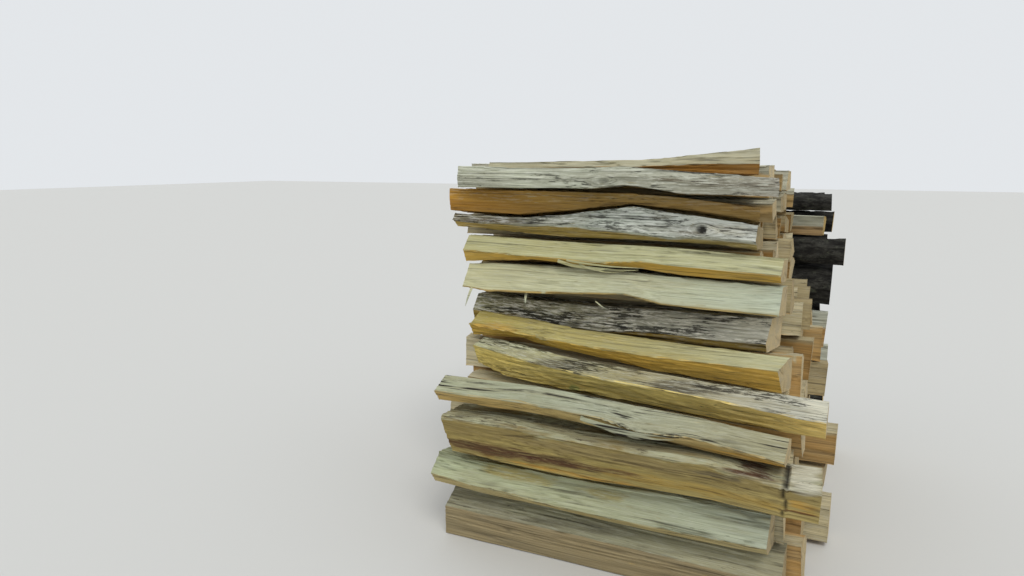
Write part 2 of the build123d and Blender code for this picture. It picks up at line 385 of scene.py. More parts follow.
# Cutting into rings: rays round a section, fewest points round a log, and the least turn of a long edge. A
# side is hidden where it looks back by more than BACKWARD and up by less than UPWARD.
RAY_COUNT = 720
FEWEST_POINTS = 12
SHARP_TURN = math.radians(20)
BACKWARD = 0.3
UPWARD = 0.5
END_MARGIN = 1e-5
# The run of the grain: how far logs are set apart in it, and the length and depth of its sway
GRAIN_APART = 3.0
SWAY_LENGTH = 0.35
SWAY_DEPTH = 0.02
# The line between weathered and fresh wood: how far it strays, and where the step over it starts and ends
EDGE_STRAY = 0.006
UNDER_STEP = (-0.0015, 0.003)
# Knots and stains, in shares of their size: how ragged they are, and the edge over which they fade. Narrow
# knots are cracks, which don't bend the grain. The rim of the others is smooth.
CRACK_WIDTH = 0.008
KNOT_RAGGED = 0.25
KNOT_STEP = (1.15, 0.55)
GRAIN_BEND = 1.2
BEND_REACH = (2.2, 2.5)
RIM = 1.25
RIM_SPREAD = 0.12
RIM_SMOOTHING = 0.8
KNOT_REACH = 1.6
STAIN_RAGGED = 1.1
STAIN_FADE = (1.1, 0.6)
LEAST_STAIN = 0.001
# Roughening: the steps of the noises where each kind of relief starts and is full
LEDGES_IN_ONE = 5
LEDGE_RISE = (0.0, 0.82)
LEDGE_DROP = (0.88, 1.0)
FRAY_RISE = (0.70, 0.84)
FRAY_DROP = (0.86, 1.0)
FRAY_START = (0.06, 0.10)
FRAY_END = (0.90, 0.94)
CHECK_ZONE = (0.52, 0.70)
CHECK_WIDTH = 0.045
FURROW = (0.0, 0.12)
# Shares of the furrows, scales and hollows in the relief of bark
FURROW_SHARE, SCALE_SHARE, HOLLOW_SHARE = 0.75, 0.35, 0.5
BARK_EDGE = (0.1, -0.25)
END_DEPTH = 0.75
# Sawn ends: shares of the way from the middle at which a cap has points, and depths of its marks
CAP_SHARES = (0.955, 0.80, 0.60, 0.38, 0.18)
SAW_GAP = 0.004
SAW_LEAN = 0.3
SAW_DEPTH = 0.0004
PIT_SIZE = 0.006
PIT_DEPTH = 0.0007
# Radial cracks: the fewest and one more than the most, their strength, their depth, the shares from which
# they are open and only partly open, and how much of them is left at the rim
RADIAL_COUNT = (2, 6)
RADIAL_STRENGTH = (0.4, 1.0)
RADIAL_DEPTH = 0.004
RADIAL_SPAN = (0.25, 0.9)
RADIAL_AT_RIM = 0.4
# How far the pith may lie from the middle, as a share of the log's depth and height
PITH_SHIFT = 0.55


@dataclass
class RingedLog:
    """A log as rings of points, which is roughened and then made into faces.

    Attributes:
        solid: The log to follow.
        grid: How finely it is cut.
        relief: How it is roughened.
        seed: Picks its random look.
        shown_front: True if only its front and top are seen.
        shaping: What is special about it.
        half_bark: True if its bark is on its front side only.
        points: Its points, by ring and by place round the log.
        outward: Way out of the log at each point.
        marks: Numbers at each point.
        grain: Place of each point in the run of the grain.
        offset: How far this log is set apart there.
        paint: Colour of the stain at each point.
    """

    solid: Solid
    grid: Grid
    relief: Relief
    seed: int
    shown_front: bool = False
    shaping: Shaping = Shaping()
    half_bark: bool = False
    points: np.ndarray = field(init=False)
    outward: np.ndarray = field(init=False)
    marks: dict[Mark, np.ndarray] = field(init=False)
    grain: np.ndarray = field(init=False)
    offset: np.ndarray = field(init=False)
    paint: np.ndarray = field(init=False)

    def angles(self, middle: np.ndarray, outline: np.ndarray) -> np.ndarray:
        """Directions from the middle at which the log's rings have points, closer where the log is seen.

        Args:
            middle: Middle of the section.
            outline: Corners of the section.

        Returns:
            Angles in order round the log.
        """
        rays = np.linspace(-math.pi, math.pi, RAY_COUNT, endpoint=False)
        spots = self.cast(middle, outline, rays)
        step = np.roll(spots, -1, axis=0) - spots
        length = np.linalg.norm(step, axis=1)
        facing = np.stack([step[:, 1], -step[:, 0]], axis=1) / np.maximum(length, TINY)[:, None]
        hidden = self.shown_front & (facing[:, 0] > BACKWARD) & (facing[:, 1] < UPWARD)
        spacing = np.where(hidden, self.grid.coarse, self.grid.fine)
        travelled = np.concatenate([[0.0], np.cumsum(length / spacing)])
        count = max(FEWEST_POINTS, int(round(travelled[-1])))
        wanted = np.linspace(0, travelled[-1], count, endpoint=False)
        return np.interp(wanted, travelled, np.append(rays, math.pi))

    @staticmethod
    def cast(middle: np.ndarray, outline: np.ndarray, rays: np.ndarray) -> np.ndarray:
        """Where rays from the middle meet the outline.

        Args:
            middle: Start of the rays.
            outline: Corners of the section.
            rays: Directions as angles.

        Returns:
            One point for each ray.
        """
        corner = outline - middle
        bearing = np.arctan2(corner[:, 1], corner[:, 0])
        order = np.argsort(bearing)
        corner, bearing = corner[order], bearing[order]
        before = (np.searchsorted(bearing, rays, side="right") - 1) % len(bearing)
        a = corner[before]
        way = corner[(before + 1) % len(bearing)] - a
        aim = np.stack([np.cos(rays), np.sin(rays)], axis=1)
        across = aim[:, 0] * way[:, 1] - aim[:, 1] * way[:, 0]
        across = np.where(np.abs(across) < 1e-12, 1e-12, across)
        return middle + aim * ((a[:, 0] * way[:, 1] - a[:, 1] * way[:, 0]) / across)[:, None]

    def ring(self, x: float, rays: np.ndarray) -> np.ndarray:
        """The points of one ring, with one on each long edge of the log.

        Args:
            x: Place of the ring along the heap.
            rays: Directions of the points.

        Returns:
            The points in order round the log.
        """
        left, right = self.solid.ends()
        outline = self.solid.outline(min(max(x, left + END_MARGIN), right - END_MARGIN))
        middle = (outline.min(0) + outline.max(0)) / 2
        before = outline - np.roll(outline, 1, axis=0)
        after = np.roll(outline, -1, axis=0) - outline
        cross = before[:, 0] * after[:, 1] - before[:, 1] * after[:, 0]
        turn = np.arctan2(cross, (before * after).sum(1))
        own = rays.copy()
        for corner in outline[turn > SHARP_TURN] - middle:
            bearing = math.atan2(corner[1], corner[0])
            gap = np.abs((rays - bearing + math.pi) % (2 * math.pi) - math.pi)
            own[gap.argmin()] = bearing
        return np.column_stack([np.full(len(own), x), self.cast(middle, outline, own)])

    def lay_rings(self) -> None:
        """Cut the solid into rings."""
        left, right = self.solid.ends()
        share = np.linspace(0, 1, self.grid.rings)
        share = share - self.grid.crowding * np.sin(2 * math.pi * share) / (2 * math.pi)
        middle_cut = self.solid.outline((left + right) / 2)
        rays = self.angles((middle_cut.min(0) + middle_cut.max(0)) / 2, middle_cut)
        self.points = np.array([self.ring(x, rays) for x in left + (right - left) * share])
        way = np.roll(self.points, -1, axis=1) - np.roll(self.points, 1, axis=1)
        length = np.maximum(np.linalg.norm(way[:, :, 1:], axis=2), TINY)
        out = [np.zeros_like(length), way[:, :, 2] / length, -way[:, :, 1] / length]
        self.outward = np.stack(out, axis=2)

    def mark_knots(self, flat: np.ndarray) -> np.ndarray:
        """Find the knots and bend the grain round them.

        Args:
            flat: Points of the log, one row each.

        Returns:
            How much each point lies in a knot, from 0 to 1.
        """
        knot = np.zeros(len(flat))
        on_front = self.outward.reshape(-1, 3)[:, 1] < BACKWARD
        for one in self.shaping.knots:
            dx, dz = one.shares(flat)
            away = np.sqrt(dx * dx + dz * dz) + KNOT_RAGGED * (KNOT_EDGE.at(flat, self.seed) - 0.5)
            knot = np.maximum(knot, smooth(away, *KNOT_STEP) * one.darkness * on_front)
            if one.length > CRACK_WIDTH:
                near = np.exp(-((dx / BEND_REACH[0]) ** 2) - (dz / BEND_REACH[1]) ** 2)
                push = near * one.height * GRAIN_BEND
                self.grain[:, 2] += np.where(on_front, np.sign(-dz) * push, 0)
        return knot

    def mark_stains(self, flat: np.ndarray) -> np.ndarray:
        """Find the stains and mix their colours.

        Args:
            flat: Points of the log, one row each.

        Returns:
            How much each point is stained, from 0 to 1.
        """
        stain = np.zeros(len(flat))
        self.paint = np.zeros((len(flat), 3))
        for number, one in enumerate(self.shaping.patches):
            dx, dz = one.shares(flat)
            ragged = STAIN_RAGGED * (STAIN_EDGE.at(flat, self.seed + number) - 0.5)
            away = np.sqrt(dx * dx + dz * dz) + ragged
            cover = smooth(away, *STAIN_FADE) * one.strength
            self.paint = self.paint * (1 - cover[:, None]) + np.array(one.colour) * cover[:, None]
            stain = stain * (1 - cover) + cover
        self.paint = self.paint / np.maximum(stain, LEAST_STAIN)[:, None]
        return stain

    def set_marks(self) -> None:
        """Work out the marks that don't hang on the roughening, and the run of the grain."""
        flat = self.points.reshape(-1, 3)
        random = np.random.default_rng(self.seed)
        self.offset = random.uniform(-GRAIN_APART, GRAIN_APART, 3)
        height = self.points[:, :, 2]
        edge = height[np.arange(len(height)), self.points[:, :, 1].argmin(1)]
        jitter = (EDGE_JITTER.at(flat, self.seed).reshape(height.shape) - 0.5) * EDGE_STRAY
        under = smooth(edge[:, None] - self.shaping.edge_drop - height + jitter, *UNDER_STEP)
        low = height.min(1)[:, None]
        high = height.max(1)[:, None]
        left, right = self.solid.ends()
        line = np.column_stack([flat[:, 0] / SWAY_LENGTH, flat[:, 1] * 0, flat[:, 2] * 0])
        self.grain = flat.copy()
        self.grain[:, 2] += (noise(line + self.offset, self.seed + 5) - 0.5) * SWAY_DEPTH
        self.marks = {
            Mark.UNDER: under.reshape(-1),
            Mark.CHECK: np.zeros(len(flat)),
            Mark.KNOT: self.mark_knots(flat),
            Mark.STAIN: self.mark_stains(flat),
            Mark.TINT: np.full(len(flat), random.uniform(0, 1)),
            Mark.FRAY: np.zeros(len(flat)),
            Mark.ALONG: (flat[:, 0] - left) / (right - left),
            Mark.RISE: ((height - low) / (high - low)).reshape(-1),
        }
        self.grain += self.offset

    def bark_share(self) -> np.ndarray:
        """Find where the log has its bark.

        Returns:
            How much each point is under bark, from 0 to 1.
        """
        if self.relief.plate == 0:
            return np.zeros(len(self.grain))
        if not self.half_bark:
            return np.ones(len(self.grain))
        return smooth(self.outward.reshape(-1, 3)[:, 1], *BARK_EDGE)

    def roughen(self) -> None:
        """Push every point inwards by the depth of the fibres, ledges, checks or bark furrows there."""
        grain, seed, rough = self.grain, self.seed, self.relief
        flat = self.points.reshape(-1, 3)
        bark = self.bark_share()
        layer = LEDGES.at(grain, seed) * LEDGES_IN_ONE
        step = layer - np.floor(layer)
        ledge = smooth(step, *LEDGE_RISE) * (1 - smooth(step, *LEDGE_DROP))
        sag = HOLLOWS.at(grain, seed)
        strong = smooth(CHECK_ZONES.at(grain, seed), *CHECK_ZONE)
        check = np.exp(-(((CHECK_LINES.at(grain, seed) - 0.5) / CHECK_WIDTH) ** 2)) * strong
        fibre = 1 - FIBRES.at(grain, seed)
        wood = rough.fibre * fibre + rough.ledge * ledge + rough.sag * sag + rough.check * check
        furrow = 1 - smooth(np.abs(BARK_PLATES.at(grain, seed) - 0.5), *FURROW)
        bumps = FURROW_SHARE * furrow + SCALE_SHARE * BARK_SCALES.at(grain, seed)
        plates = rough.plate * bumps + rough.sag * HOLLOW_SHARE * sag
        depth = wood * (1 - bark) + plates * bark
        for one in self.shaping.knots:
            away = np.hypot(*one.shares(flat))
            rim = np.exp(-((away - RIM) ** 2) / RIM_SPREAD)
            hole = self.marks[Mark.KNOT] * one.depth * (away < KNOT_REACH)
            depth = np.maximum(depth * (1 - RIM_SMOOTHING * rim), hole)
        self.marks[Mark.CHECK] = check * (1 - bark) + furrow * bark
        along = self.marks[Mark.ALONG]
        inner = smooth(along, *FRAY_START) * (1 - smooth(along, *FRAY_END))
        self.marks[Mark.FRAY] = (1 - smooth(step, *FRAY_DROP)) * smooth(step, *FRAY_RISE) * (1 - bark) * inner
        depth = depth.reshape(self.points.shape[:2])
        depth[[0, -1]] *= END_DEPTH
        self.points = self.points - self.outward * depth[:, :, None]

    def slant_ends(self) -> None:
        """Slant both sawn ends a little, always inwards."""
        random = np.random.default_rng(self.seed + 31)
        left, right = self.solid.ends()
        low = self.points[:, :, 1:].reshape(-1, 2).min(0)
        high = self.points[:, :, 1:].reshape(-1, 2).max(0)
        share = (self.points[:, :, 0] - left) / (right - left)
        lift = (self.points[:, :, 1:] - low) / (high - low)
        ends = ((1 - share, 1, self.shaping.left_slant), (share, -1, self.shaping.right_slant))
        for at_end, inward, wanted in ends:
            slope = random.uniform(-1, 1, 2) * self.relief.cut
            if wanted is not None:
                slope[0] = wanted
            slope *= high - low
            self.points[:, :, 0] += np.where(slope > 0, lift, 1 - lift) @ np.abs(slope) * at_end * inward

    def cap(self, own: np.ndarray, inward: int, first: int) -> tuple[np.ndarray, list[Face], np.ndarray]:
        """Points and faces of a sawn end inside one end ring.

        Args:
            own: Numbers of the ring's points.
            inward: 1 for the left end, -1 for the right end.
            first: Number of the cap's first new point.

        Returns:
            The new points, the cap's faces, and how much each new point lies in a check.
        """
        random = np.random.default_rng(self.seed + (41 if inward > 0 else 43))
        ring = self.points.reshape(-1, 3)[own]
        middle = ring.mean(0)
        count = len(ring)
        bearing = np.arctan2(ring[:, 2] - middle[2], ring[:, 1] - middle[1])
        check = np.zeros(count)
        for _ in range(random.integers(*RADIAL_COUNT)):
            aim = random.uniform(-math.pi, math.pi)
            gap = np.abs((bearing - aim + math.pi) % (2 * math.pi) - math.pi)
            check[gap.argmin()] = random.uniform(*RADIAL_STRENGTH)
        new = []
        for share in CAP_SHARES:
            points = middle + (ring - middle) * share
            pits = noise(points / PIT_SIZE + self.seed, self.seed + 45)
            saw = 0.5 + 0.5 * np.sin((points[:, 2] + SAW_LEAN * points[:, 1]) / SAW_GAP)
            opening = 1 if share < RADIAL_SPAN[1] else RADIAL_AT_RIM
            crack = check * RADIAL_DEPTH * opening * (share > RADIAL_SPAN[0])
            points[:, 0] += inward * (PIT_DEPTH * pits + SAW_DEPTH * saw + crack)
            new.append(points)
        new.append(middle[None, :])
        dark = np.concatenate([check * (share > RADIAL_SPAN[0]) for share in CAP_SHARES] + [np.zeros(1)])
        levels = np.concatenate([[own], first + np.arange(len(CAP_SHARES) * count).reshape(-1, count)])
        ahead = np.roll(levels, -1, axis=1)
        quads = np.stack([levels[:-1], ahead[:-1], ahead[1:], levels[1:]], axis=2).reshape(-1, 4)
        fans = np.stack([levels[-1], ahead[-1], np.full(count, first + len(CAP_SHARES) * count)], axis=1)
        faces = [tuple(face if inward < 0 else face[::-1]) for face in quads.tolist() + fans.tolist()]
        return np.concatenate(new), faces, dark

    def build(self) -> "Shell":
        """Cut, roughen and close the log.

        Returns:
            Its points, faces and marks.
        """
        self.lay_rings()
        self.set_marks()
        self.roughen()
        self.slant_ends()
        rings, round_count = self.points.shape[:2]
        flat = self.points.reshape(-1, 3)
        number = np.arange(rings * round_count).reshape(rings, round_count)
        sides = side_faces(number)
        barked = self.bark_share()[sides[:, 0]] > 0.5
        faces = [tuple(face) for face in sides.tolist()]
        surface = np.where(barked, Surface.BARK.value, Surface.SPLIT.value).tolist()
        points = [flat]
        values = {mark: [value] for mark, value in self.marks.items()}
        steady = {Mark.TINT: self.marks[Mark.TINT][0], Mark.ALONG: 0.5, Mark.RISE: 0.5}
        start = len(flat)
        for own, inward in ((number[0], 1), (number[-1], -1)):
            new, cap_faces, dark = self.cap(own, inward, start)
            faces += cap_faces
            surface += [Surface.SAWN.value] * len(cap_faces)
            points.append(new)
            for mark, parts in values.items():
                parts.append(dark if mark is Mark.CHECK else np.full(len(new), steady.get(mark, 0.0)))
            start += len(new)
        span = flat[:, 1:].max(0) - flat[:, 1:].min(0)
        random = np.random.default_rng(self.seed + 51)
        pith = flat.mean(0)[1:] + random.uniform(-PITH_SHIFT, PITH_SHIFT, 2) * span
        every = np.concatenate(points)
        vectors = {
            Way.GRAIN: np.concatenate([self.grain] + [new + self.offset for new in points[1:]]),
            Way.PITH: np.column_stack([np.zeros(len(every)), every[:, 1:] - pith]),
            Way.PAINT: np.concatenate([self.paint, np.zeros((len(every) - len(flat), 3))]),
        }
        return Shell(every, faces, surface, {mark: np.concatenate(v) for mark, v in values.items()}, vectors)


def side_faces(number: np.ndarray) -> np.ndarray:
    """Faces between rings of points, from the points' numbers by ring and by place round it."""
    ahead = np.roll(number, -1, axis=1)
    return np.stack([number[:-1], ahead[:-1], ahead[1:], number[1:]], axis=2).reshape(-1, 4)


@dataclass
class Shell:
    """A closed surface with what its finishes read.

    Attributes:
        points: Its points.
        faces: Point numbers of each face.
        surface: Kind of surface of each face.
        marks: Numbers at each point.
        vectors: Vectors at each point.
    """

    points: np.ndarray
    faces: list[Face]
    surface: list[int]
    marks: dict[Mark, np.ndarray]
    vectors: dict[Way, np.ndarray]

    @staticmethod
    def joined(shells: list["Shell"]) -> "Shell":
        """Several shells as one.

        Args:
            shells: The shells to join.

        Returns:
            The joined shell.
        """
        faces = []
        start = 0
        for shell in shells:
            faces += [tuple(v + start for v in face) for face in shell.faces]
            start += len(shell.points)
        return Shell(
            np.concatenate([shell.points for shell in shells]),
            faces,
            [kind for shell in shells for kind in shell.surface],
            {mark: np.concatenate([shell.marks[mark] for shell in shells]) for mark in Mark},
            {way: np.concatenate([shell.vectors[way] for shell in shells]) for way in Way},
        )

    def to_object(self, name: str, materials: list[bpy.types.Material]) -> bpy.types.Object:
        """Make the shell into an object of the scene.

        Args:
            name: Name of the object.
            materials: One material for each kind of surface, in the order of Surface.

        Returns:
            The new object.
        """
        mesh = bpy.data.meshes.new(name)
        mesh.from_pydata(self.points.tolist(), [], self.faces)
        for material in materials:
            mesh.materials.append(material)
        kinds = np.minimum(self.surface, len(materials) - 1)
        mesh.polygons.foreach_set("material_index", kinds.astype(np.int32))
        for kind, label, group in (("FLOAT", "value", self.marks), ("FLOAT_VECTOR", "vector", self.vectors)):
            for key, value in group.items():
                layer = mesh.attributes.new(key.value, kind, "POINT")
                layer.data.foreach_set(label, value.astype(np.float32).ravel())
        mesh.polygons.foreach_set("use_smooth", np.ones(len(self.faces), bool))
        mesh.set_sharp_from_angle(angle=math.radians(38))
        mesh.update()
        return placed(name, mesh)


def placed(name: str, data: bpy.types.ID) -> bpy.types.Object:
    """Put a new object into the scene.

    Args:
        name: Its name.
        data: Its mesh, light or camera.

    Returns:
        The object.
    """
    thing = bpy.data.objects.new(name, data)
    bpy.context.scene.collection.objects.link(thing)
    return thing


class NodeTree:
    """Nodes that are put together step by step."""

    def __init__(self, tree: bpy.types.NodeTree) -> None:
        """Take the tree that the nodes go into."""
        self.tree = tree

    def feed(self, socket: Socket, value: object) -> None:
        """Link or set one input.

        Args:
            socket: The input.
            value: An output to link, or a plain value.
        """
        if isinstance(value, Socket):
            self.tree.links.new(value, socket)
        elif socket.type == "RGBA":
            socket.default_value = (*value, 1.0)
        else:
            socket.default_value = value

    def add(self, kind: str, inputs: dict[int | str, object], **settings: object) -> bpy.types.Node:
        """Add one node.

        Args:
            kind: Type of the node.
            inputs: Values or outputs for its inputs, by number or name.
            settings: Its own settings.

        Returns:
            The node.
        """
        node = self.tree.nodes.new(kind)
        for label, value in settings.items():
            setattr(node, label, value)
        for key, value in inputs.items():
            self.feed(node.inputs[key], value)
        return node

    def math(self, operation: str, first: object, second: object = 0.0) -> Socket:
        """One sum of two values."""
        return self.add("ShaderNodeMath", {0: first, 1: second}, operation=operation).outputs[0]

    def vectors(self, operation: str, *values: object) -> Socket:
        """One sum of vectors."""
        return self.add("ShaderNodeVectorMath", dict(enumerate(values)), operation=operation).outputs[0]


@dataclass(frozen=True)
class Texture:
    """Noise of a finish, in the run of the grain.

    Attributes:
        along: How many features there are to a metre along the grain.
        across: How many there are across it.
        detail: How many finer layers there are.
        roughness: Strength of the finer layers.
    """

    along: float
    across: float
    detail: float
    roughness: float


@dataclass(frozen=True)
class Shade:
    """How a fine noise darkens and lightens a colour.

    Attributes:
        share: Strength of it, from 0 to 1.
        dark: What the darkest points are multiplied by.
        light: What the lightest points are multiplied by.
    """

    share: float
    dark: Rgb
    light: Rgb


FULL = (0.0, 1.0)
SHADE_STEP = (0.3, 0.7)
# Numbers of a mix node's inputs and of its output, when it mixes colours
MIX_SHARE, MIX_FIRST, MIX_SECOND, MIX_RESULT = 0, 6, 7, 2


class ShaderNodes(NodeTree):
    """A material's nodes."""

    def __init__(self, name: str) -> None:
        """Start an empty material.

        Args:
            name: Its name.
        """
        self.material = bpy.data.materials.new(name)
        self.material.use_nodes = True
        super().__init__(self.material.node_tree)
        self.tree.nodes.clear()

    def mark(self, mark: Mark) -> Socket:
        """The value of a mark at the shaded point."""
        return self.add("ShaderNodeAttribute", {}, attribute_name=mark.value).outputs["Fac"]

    def way(self, way: Way) -> Socket:
        """A vector at the shaded point."""
        return self.add("ShaderNodeAttribute", {}, attribute_name=way.value).outputs["Vector"]

    def noise(self, texture: Texture) -> Socket:
        """A noise at the shaded point, from 0 to 1.

        Args:
            texture: The noise.

        Returns:
            Its value.
        """
        stretch = (texture.along, texture.across, texture.across)
        places = self.vectors("MULTIPLY", self.way(Way.GRAIN), stretch)
        inputs = {"Vector": places, "Scale": 1.0, "Detail": texture.detail, "Roughness": texture.roughness}
        return self.add("ShaderNodeTexNoise", inputs).outputs["Fac"]

    def step(self, value: object, span: Span, out: Span = FULL) -> Socket:
        """A value stretched from one range to another and kept inside it."""
        limits = dict(zip(("From Min", "From Max", "To Min", "To Max"), span + out))
        return self.add("ShaderNodeMapRange", {"Value": value, **limits}, clamp=True).outputs["Result"]

    def times(self, first: object, second: object) -> Socket:
        """The product of two values."""
        return self.math("MULTIPLY", first, second)

    def mix(self, share: object, first: object, second: object, blend: str = "MIX") -> Socket:
        """A mix of two colours, with that share of the second one."""
        inputs = {MIX_SHARE: share, MIX_FIRST: first, MIX_SECOND: second}
        return self.add("ShaderNodeMix", inputs, data_type="RGBA", blend_type=blend).outputs[MIX_RESULT]

    def shaded(self, colour: object, noise: Socket, shade: Shade) -> Socket:
        """A colour that a fine noise darkens and lightens."""
        factor = self.mix(self.step(noise, SHADE_STEP), shade.dark, shade.light)
        return self.mix(shade.share, colour, factor, "MULTIPLY")

    def varied(self, colour: object, swing: Span, powers: Span) -> Socket:
        """A colour that differs from log to log.

        Args:
            colour: The colour.
            swing: Brightness of the darkest log and of the brightest.
            powers: How much more its green and its blue swing.

        Returns:
            The varied colour.
        """
        red = self.step(self.mark(Mark.TINT), FULL, swing)
        green, blue = (self.math("POWER", red, power) for power in powers)
        factor = self.add("ShaderNodeCombineColor", {0: red, 1: green, 2: blue}).outputs[0]
        return self.mix(1.0, colour, factor, "MULTIPLY")

    def finish(self, colour: object, roughness: object, height: object, depth: float) -> bpy.types.Material:
        """Close the material with a surface and its fine relief.

        Args:
            colour: Colour of the surface.
            roughness: Roughness of the surface.
            height: Height of the fine relief, from 0 to 1.
            depth: Depth of the fine relief.

        Returns:
            The finished material.
        """
        bump = self.add("ShaderNodeBump", {"Strength": 0.9, "Distance": depth, "Height": height})
        inputs = {"Base Color": colour, "Roughness": roughness, "Specular IOR Level": 0.2}
        surface = self.add("ShaderNodeBsdfPrincipled", {**inputs, "Normal": bump.outputs["Normal"]})
        self.add("ShaderNodeOutputMaterial", {"Surface": surface.outputs["BSDF"]})
        return self.material


@dataclass(frozen=True)
class Run:
    """A colour that changes along a log.

    Attributes:
        left: At the left end.
        middle: Halfway.
        right: At the right end.
    """

    left: Rgb
    middle: Rgb
    right: Rgb


@dataclass(frozen=True)
class Band:
    """A lengthwise band on the side of a log.

    Attributes:
        low: Where it starts, as a share of the log's height.
        high: Where it ends.
        colour: Its colour.
        strength: How much it covers, from 0 to 1.
    """

    low: float
    high: float
    colour: Rgb
    strength: float


def run_of(*ends: tuple[int, int, int]) -> Run:
    """A run of three colours as seen, or of one that stays the same."""
    return Run(*[tone(*end) for end in (ends if len(ends) > 1 else ends * 3)])


# Noises of split wood, and the steps of them at which each of its marks starts and is full
FINE = Texture(5.0, 420.0, 3.0, 0.6)
STREAKS = Texture(2.2, 110.0, 4.0, 0.65)
BROAD = Texture(4.0, 26.0, 3.0, 0.5)
SPOTS = Texture(20.0, 170.0, 4.0, 0.75)
COVER = Texture(7.0, 26.0, 4.0, 0.6)
LONG_LINES = Texture(0.8, 125.0, 1.0, 0.5)
BAND_SOFTNESS = 0.07
BAND_WOBBLE = 0.9
WOOD_SHADE = Shade(0.85, (0.68, 0.66, 0.62), (1.25, 1.24, 1.22))
PATCH_STEP = (0.45, 0.62)
STAIN_STEP = (0.82, 1.02)
STAIN_COVER = (0.45, 1.0)
PALE_STEP = (0.50, 0.40)
STREAK_STEP = (0.58, 0.66)
LINE_STEP = (0.58, 0.68)
LINE_ZONE = (0.38, 0.52)
MOULD_ZONE = (0.38, 0.60)
MOULD_STEP = (0.70, 0.76)
MOULD_GAIN = 0.24
MOULD_COVER = 0.8
KNOT_COVER = 0.92
KNOT_BLACK = (0.010, 0.008, 0.006)
# How much of the patches, flecks and speckles is left below the edge
PATCH_BELOW, PALE_BELOW, MOULD_BELOW = 0.35, 0.2, 0.4
WOOD_POWERS = (1.25, 1.7)
WOOD_ROUGHNESS = (0.7, 0.92)
WOOD_BUMP = 0.0022


@dataclass(frozen=True)
class WoodFinish:
    """Split wood, weathered above and fresher below its foremost edge.

    Attributes:
        name: Name of the material.
        upper: Colour above the edge.
        lower: Colour below the edge.
        patch: Colour of the broad patches.
        dark: Colour of mould, speckles and streaks.
        light: Colour of the bleached flecks.
        bleach: How much of the upper face is bleached.
        streaks: Strength of the long dark streaks.
        lines: Strength of the long thin cracks.
        speckle: How much of the upper face is speckled, at the left end and at the right end.
        patches: How much of it is patched.
        bands: Lengthwise bands.
        variety: How much logs of one piece differ in brightness.
        checks: How dark the drying cracks are.
    """

    name: str
    upper: Run
    lower: Run
    patch: Rgb
    dark: Rgb
    light: Rgb = (0.6, 0.62, 0.55)
    bleach: float = 0.15
    streaks: float = 0.2
    lines: float = 0.5
    speckle: Span = (0.3, 0.3)
    patches: float = 0.5
    bands: tuple[Band, ...] = ()
    variety: float = 0.0
    checks: float = 0.4

    @staticmethod
    def along(s: ShaderNodes, run: Run) -> Socket:
        """The colour of a run at the shaded point."""
        first = s.mix(s.step(s.mark(Mark.ALONG), (0.0, 0.5)), run.left, run.middle)
        return s.mix(s.step(s.mark(Mark.ALONG), (0.5, 1.0)), first, run.right)

    def build(self) -> bpy.types.Material:
        """Make the material.

        Returns:
            The material.
        """
        s = ShaderNodes(self.name)
        under = s.mark(Mark.UNDER)
        fine, streak, spots, cover = (s.noise(texture) for texture in (FINE, STREAKS, SPOTS, COVER))

        def above(amount: Socket, below: float) -> Socket:
            """An amount that is less, by a factor, below the edge."""
            return s.times(amount, s.step(under, FULL, (1.0, below)))

        colour = s.mix(under, self.along(s, self.upper), self.along(s, self.lower))
        rise = s.math("ADD", s.mark(Mark.RISE), s.times(s.math("SUBTRACT", cover, 0.5), BAND_WOBBLE))
        for band in self.bands:
            start = s.step(rise, (band.low - BAND_SOFTNESS, band.low + BAND_SOFTNESS))
            end = s.step(rise, (band.high - BAND_SOFTNESS, band.high + BAND_SOFTNESS), (1.0, 0.0))
            colour = s.mix(s.times(s.times(start, end), band.strength), colour, band.colour)
        aged = s.times(s.step(s.noise(BROAD), PATCH_STEP), self.patches)
        colour = s.mix(above(aged, PATCH_BELOW), colour, self.patch)
        broken = s.step(s.math("ADD", streak, spots), STAIN_STEP, STAIN_COVER)
        colour = s.mix(s.times(s.mark(Mark.STAIN), broken), colour, s.way(Way.PAINT))
        colour = s.shaded(colour, fine, WOOD_SHADE)
        colour = s.mix(above(s.times(s.step(spots, PALE_STEP), self.bleach), PALE_BELOW), colour, self.light)
        colour = s.mix(s.times(s.step(streak, STREAK_STEP), self.streaks), colour, self.dark)
        line = s.times(s.step(s.noise(LONG_LINES), LINE_STEP), s.step(cover, LINE_ZONE))
        colour = s.mix(s.times(line, self.lines), colour, self.dark)
        amount = s.times(s.step(s.mark(Mark.ALONG), FULL, self.speckle), s.step(cover, MOULD_ZONE))
        worn = s.times(above(amount, MOULD_BELOW), MOULD_GAIN)
        mould = s.step(s.math("ADD", spots, worn), MOULD_STEP)
        colour = s.mix(s.times(mould, MOULD_COVER), colour, self.dark)
        colour = s.mix(s.times(s.mark(Mark.CHECK), self.checks), colour, self.dark)
        colour = s.mix(s.times(s.mark(Mark.KNOT), KNOT_COVER), colour, KNOT_BLACK)
        if self.variety:
            colour = s.varied(colour, (1 - self.variety, 1 + self.variety), WOOD_POWERS)
        height = s.math("ADD", s.times(fine, 0.5), s.times(streak, 0.8))
        return s.finish(colour, s.step(streak, (0.2, 0.8), WOOD_ROUGHNESS), height, WOOD_BUMP)


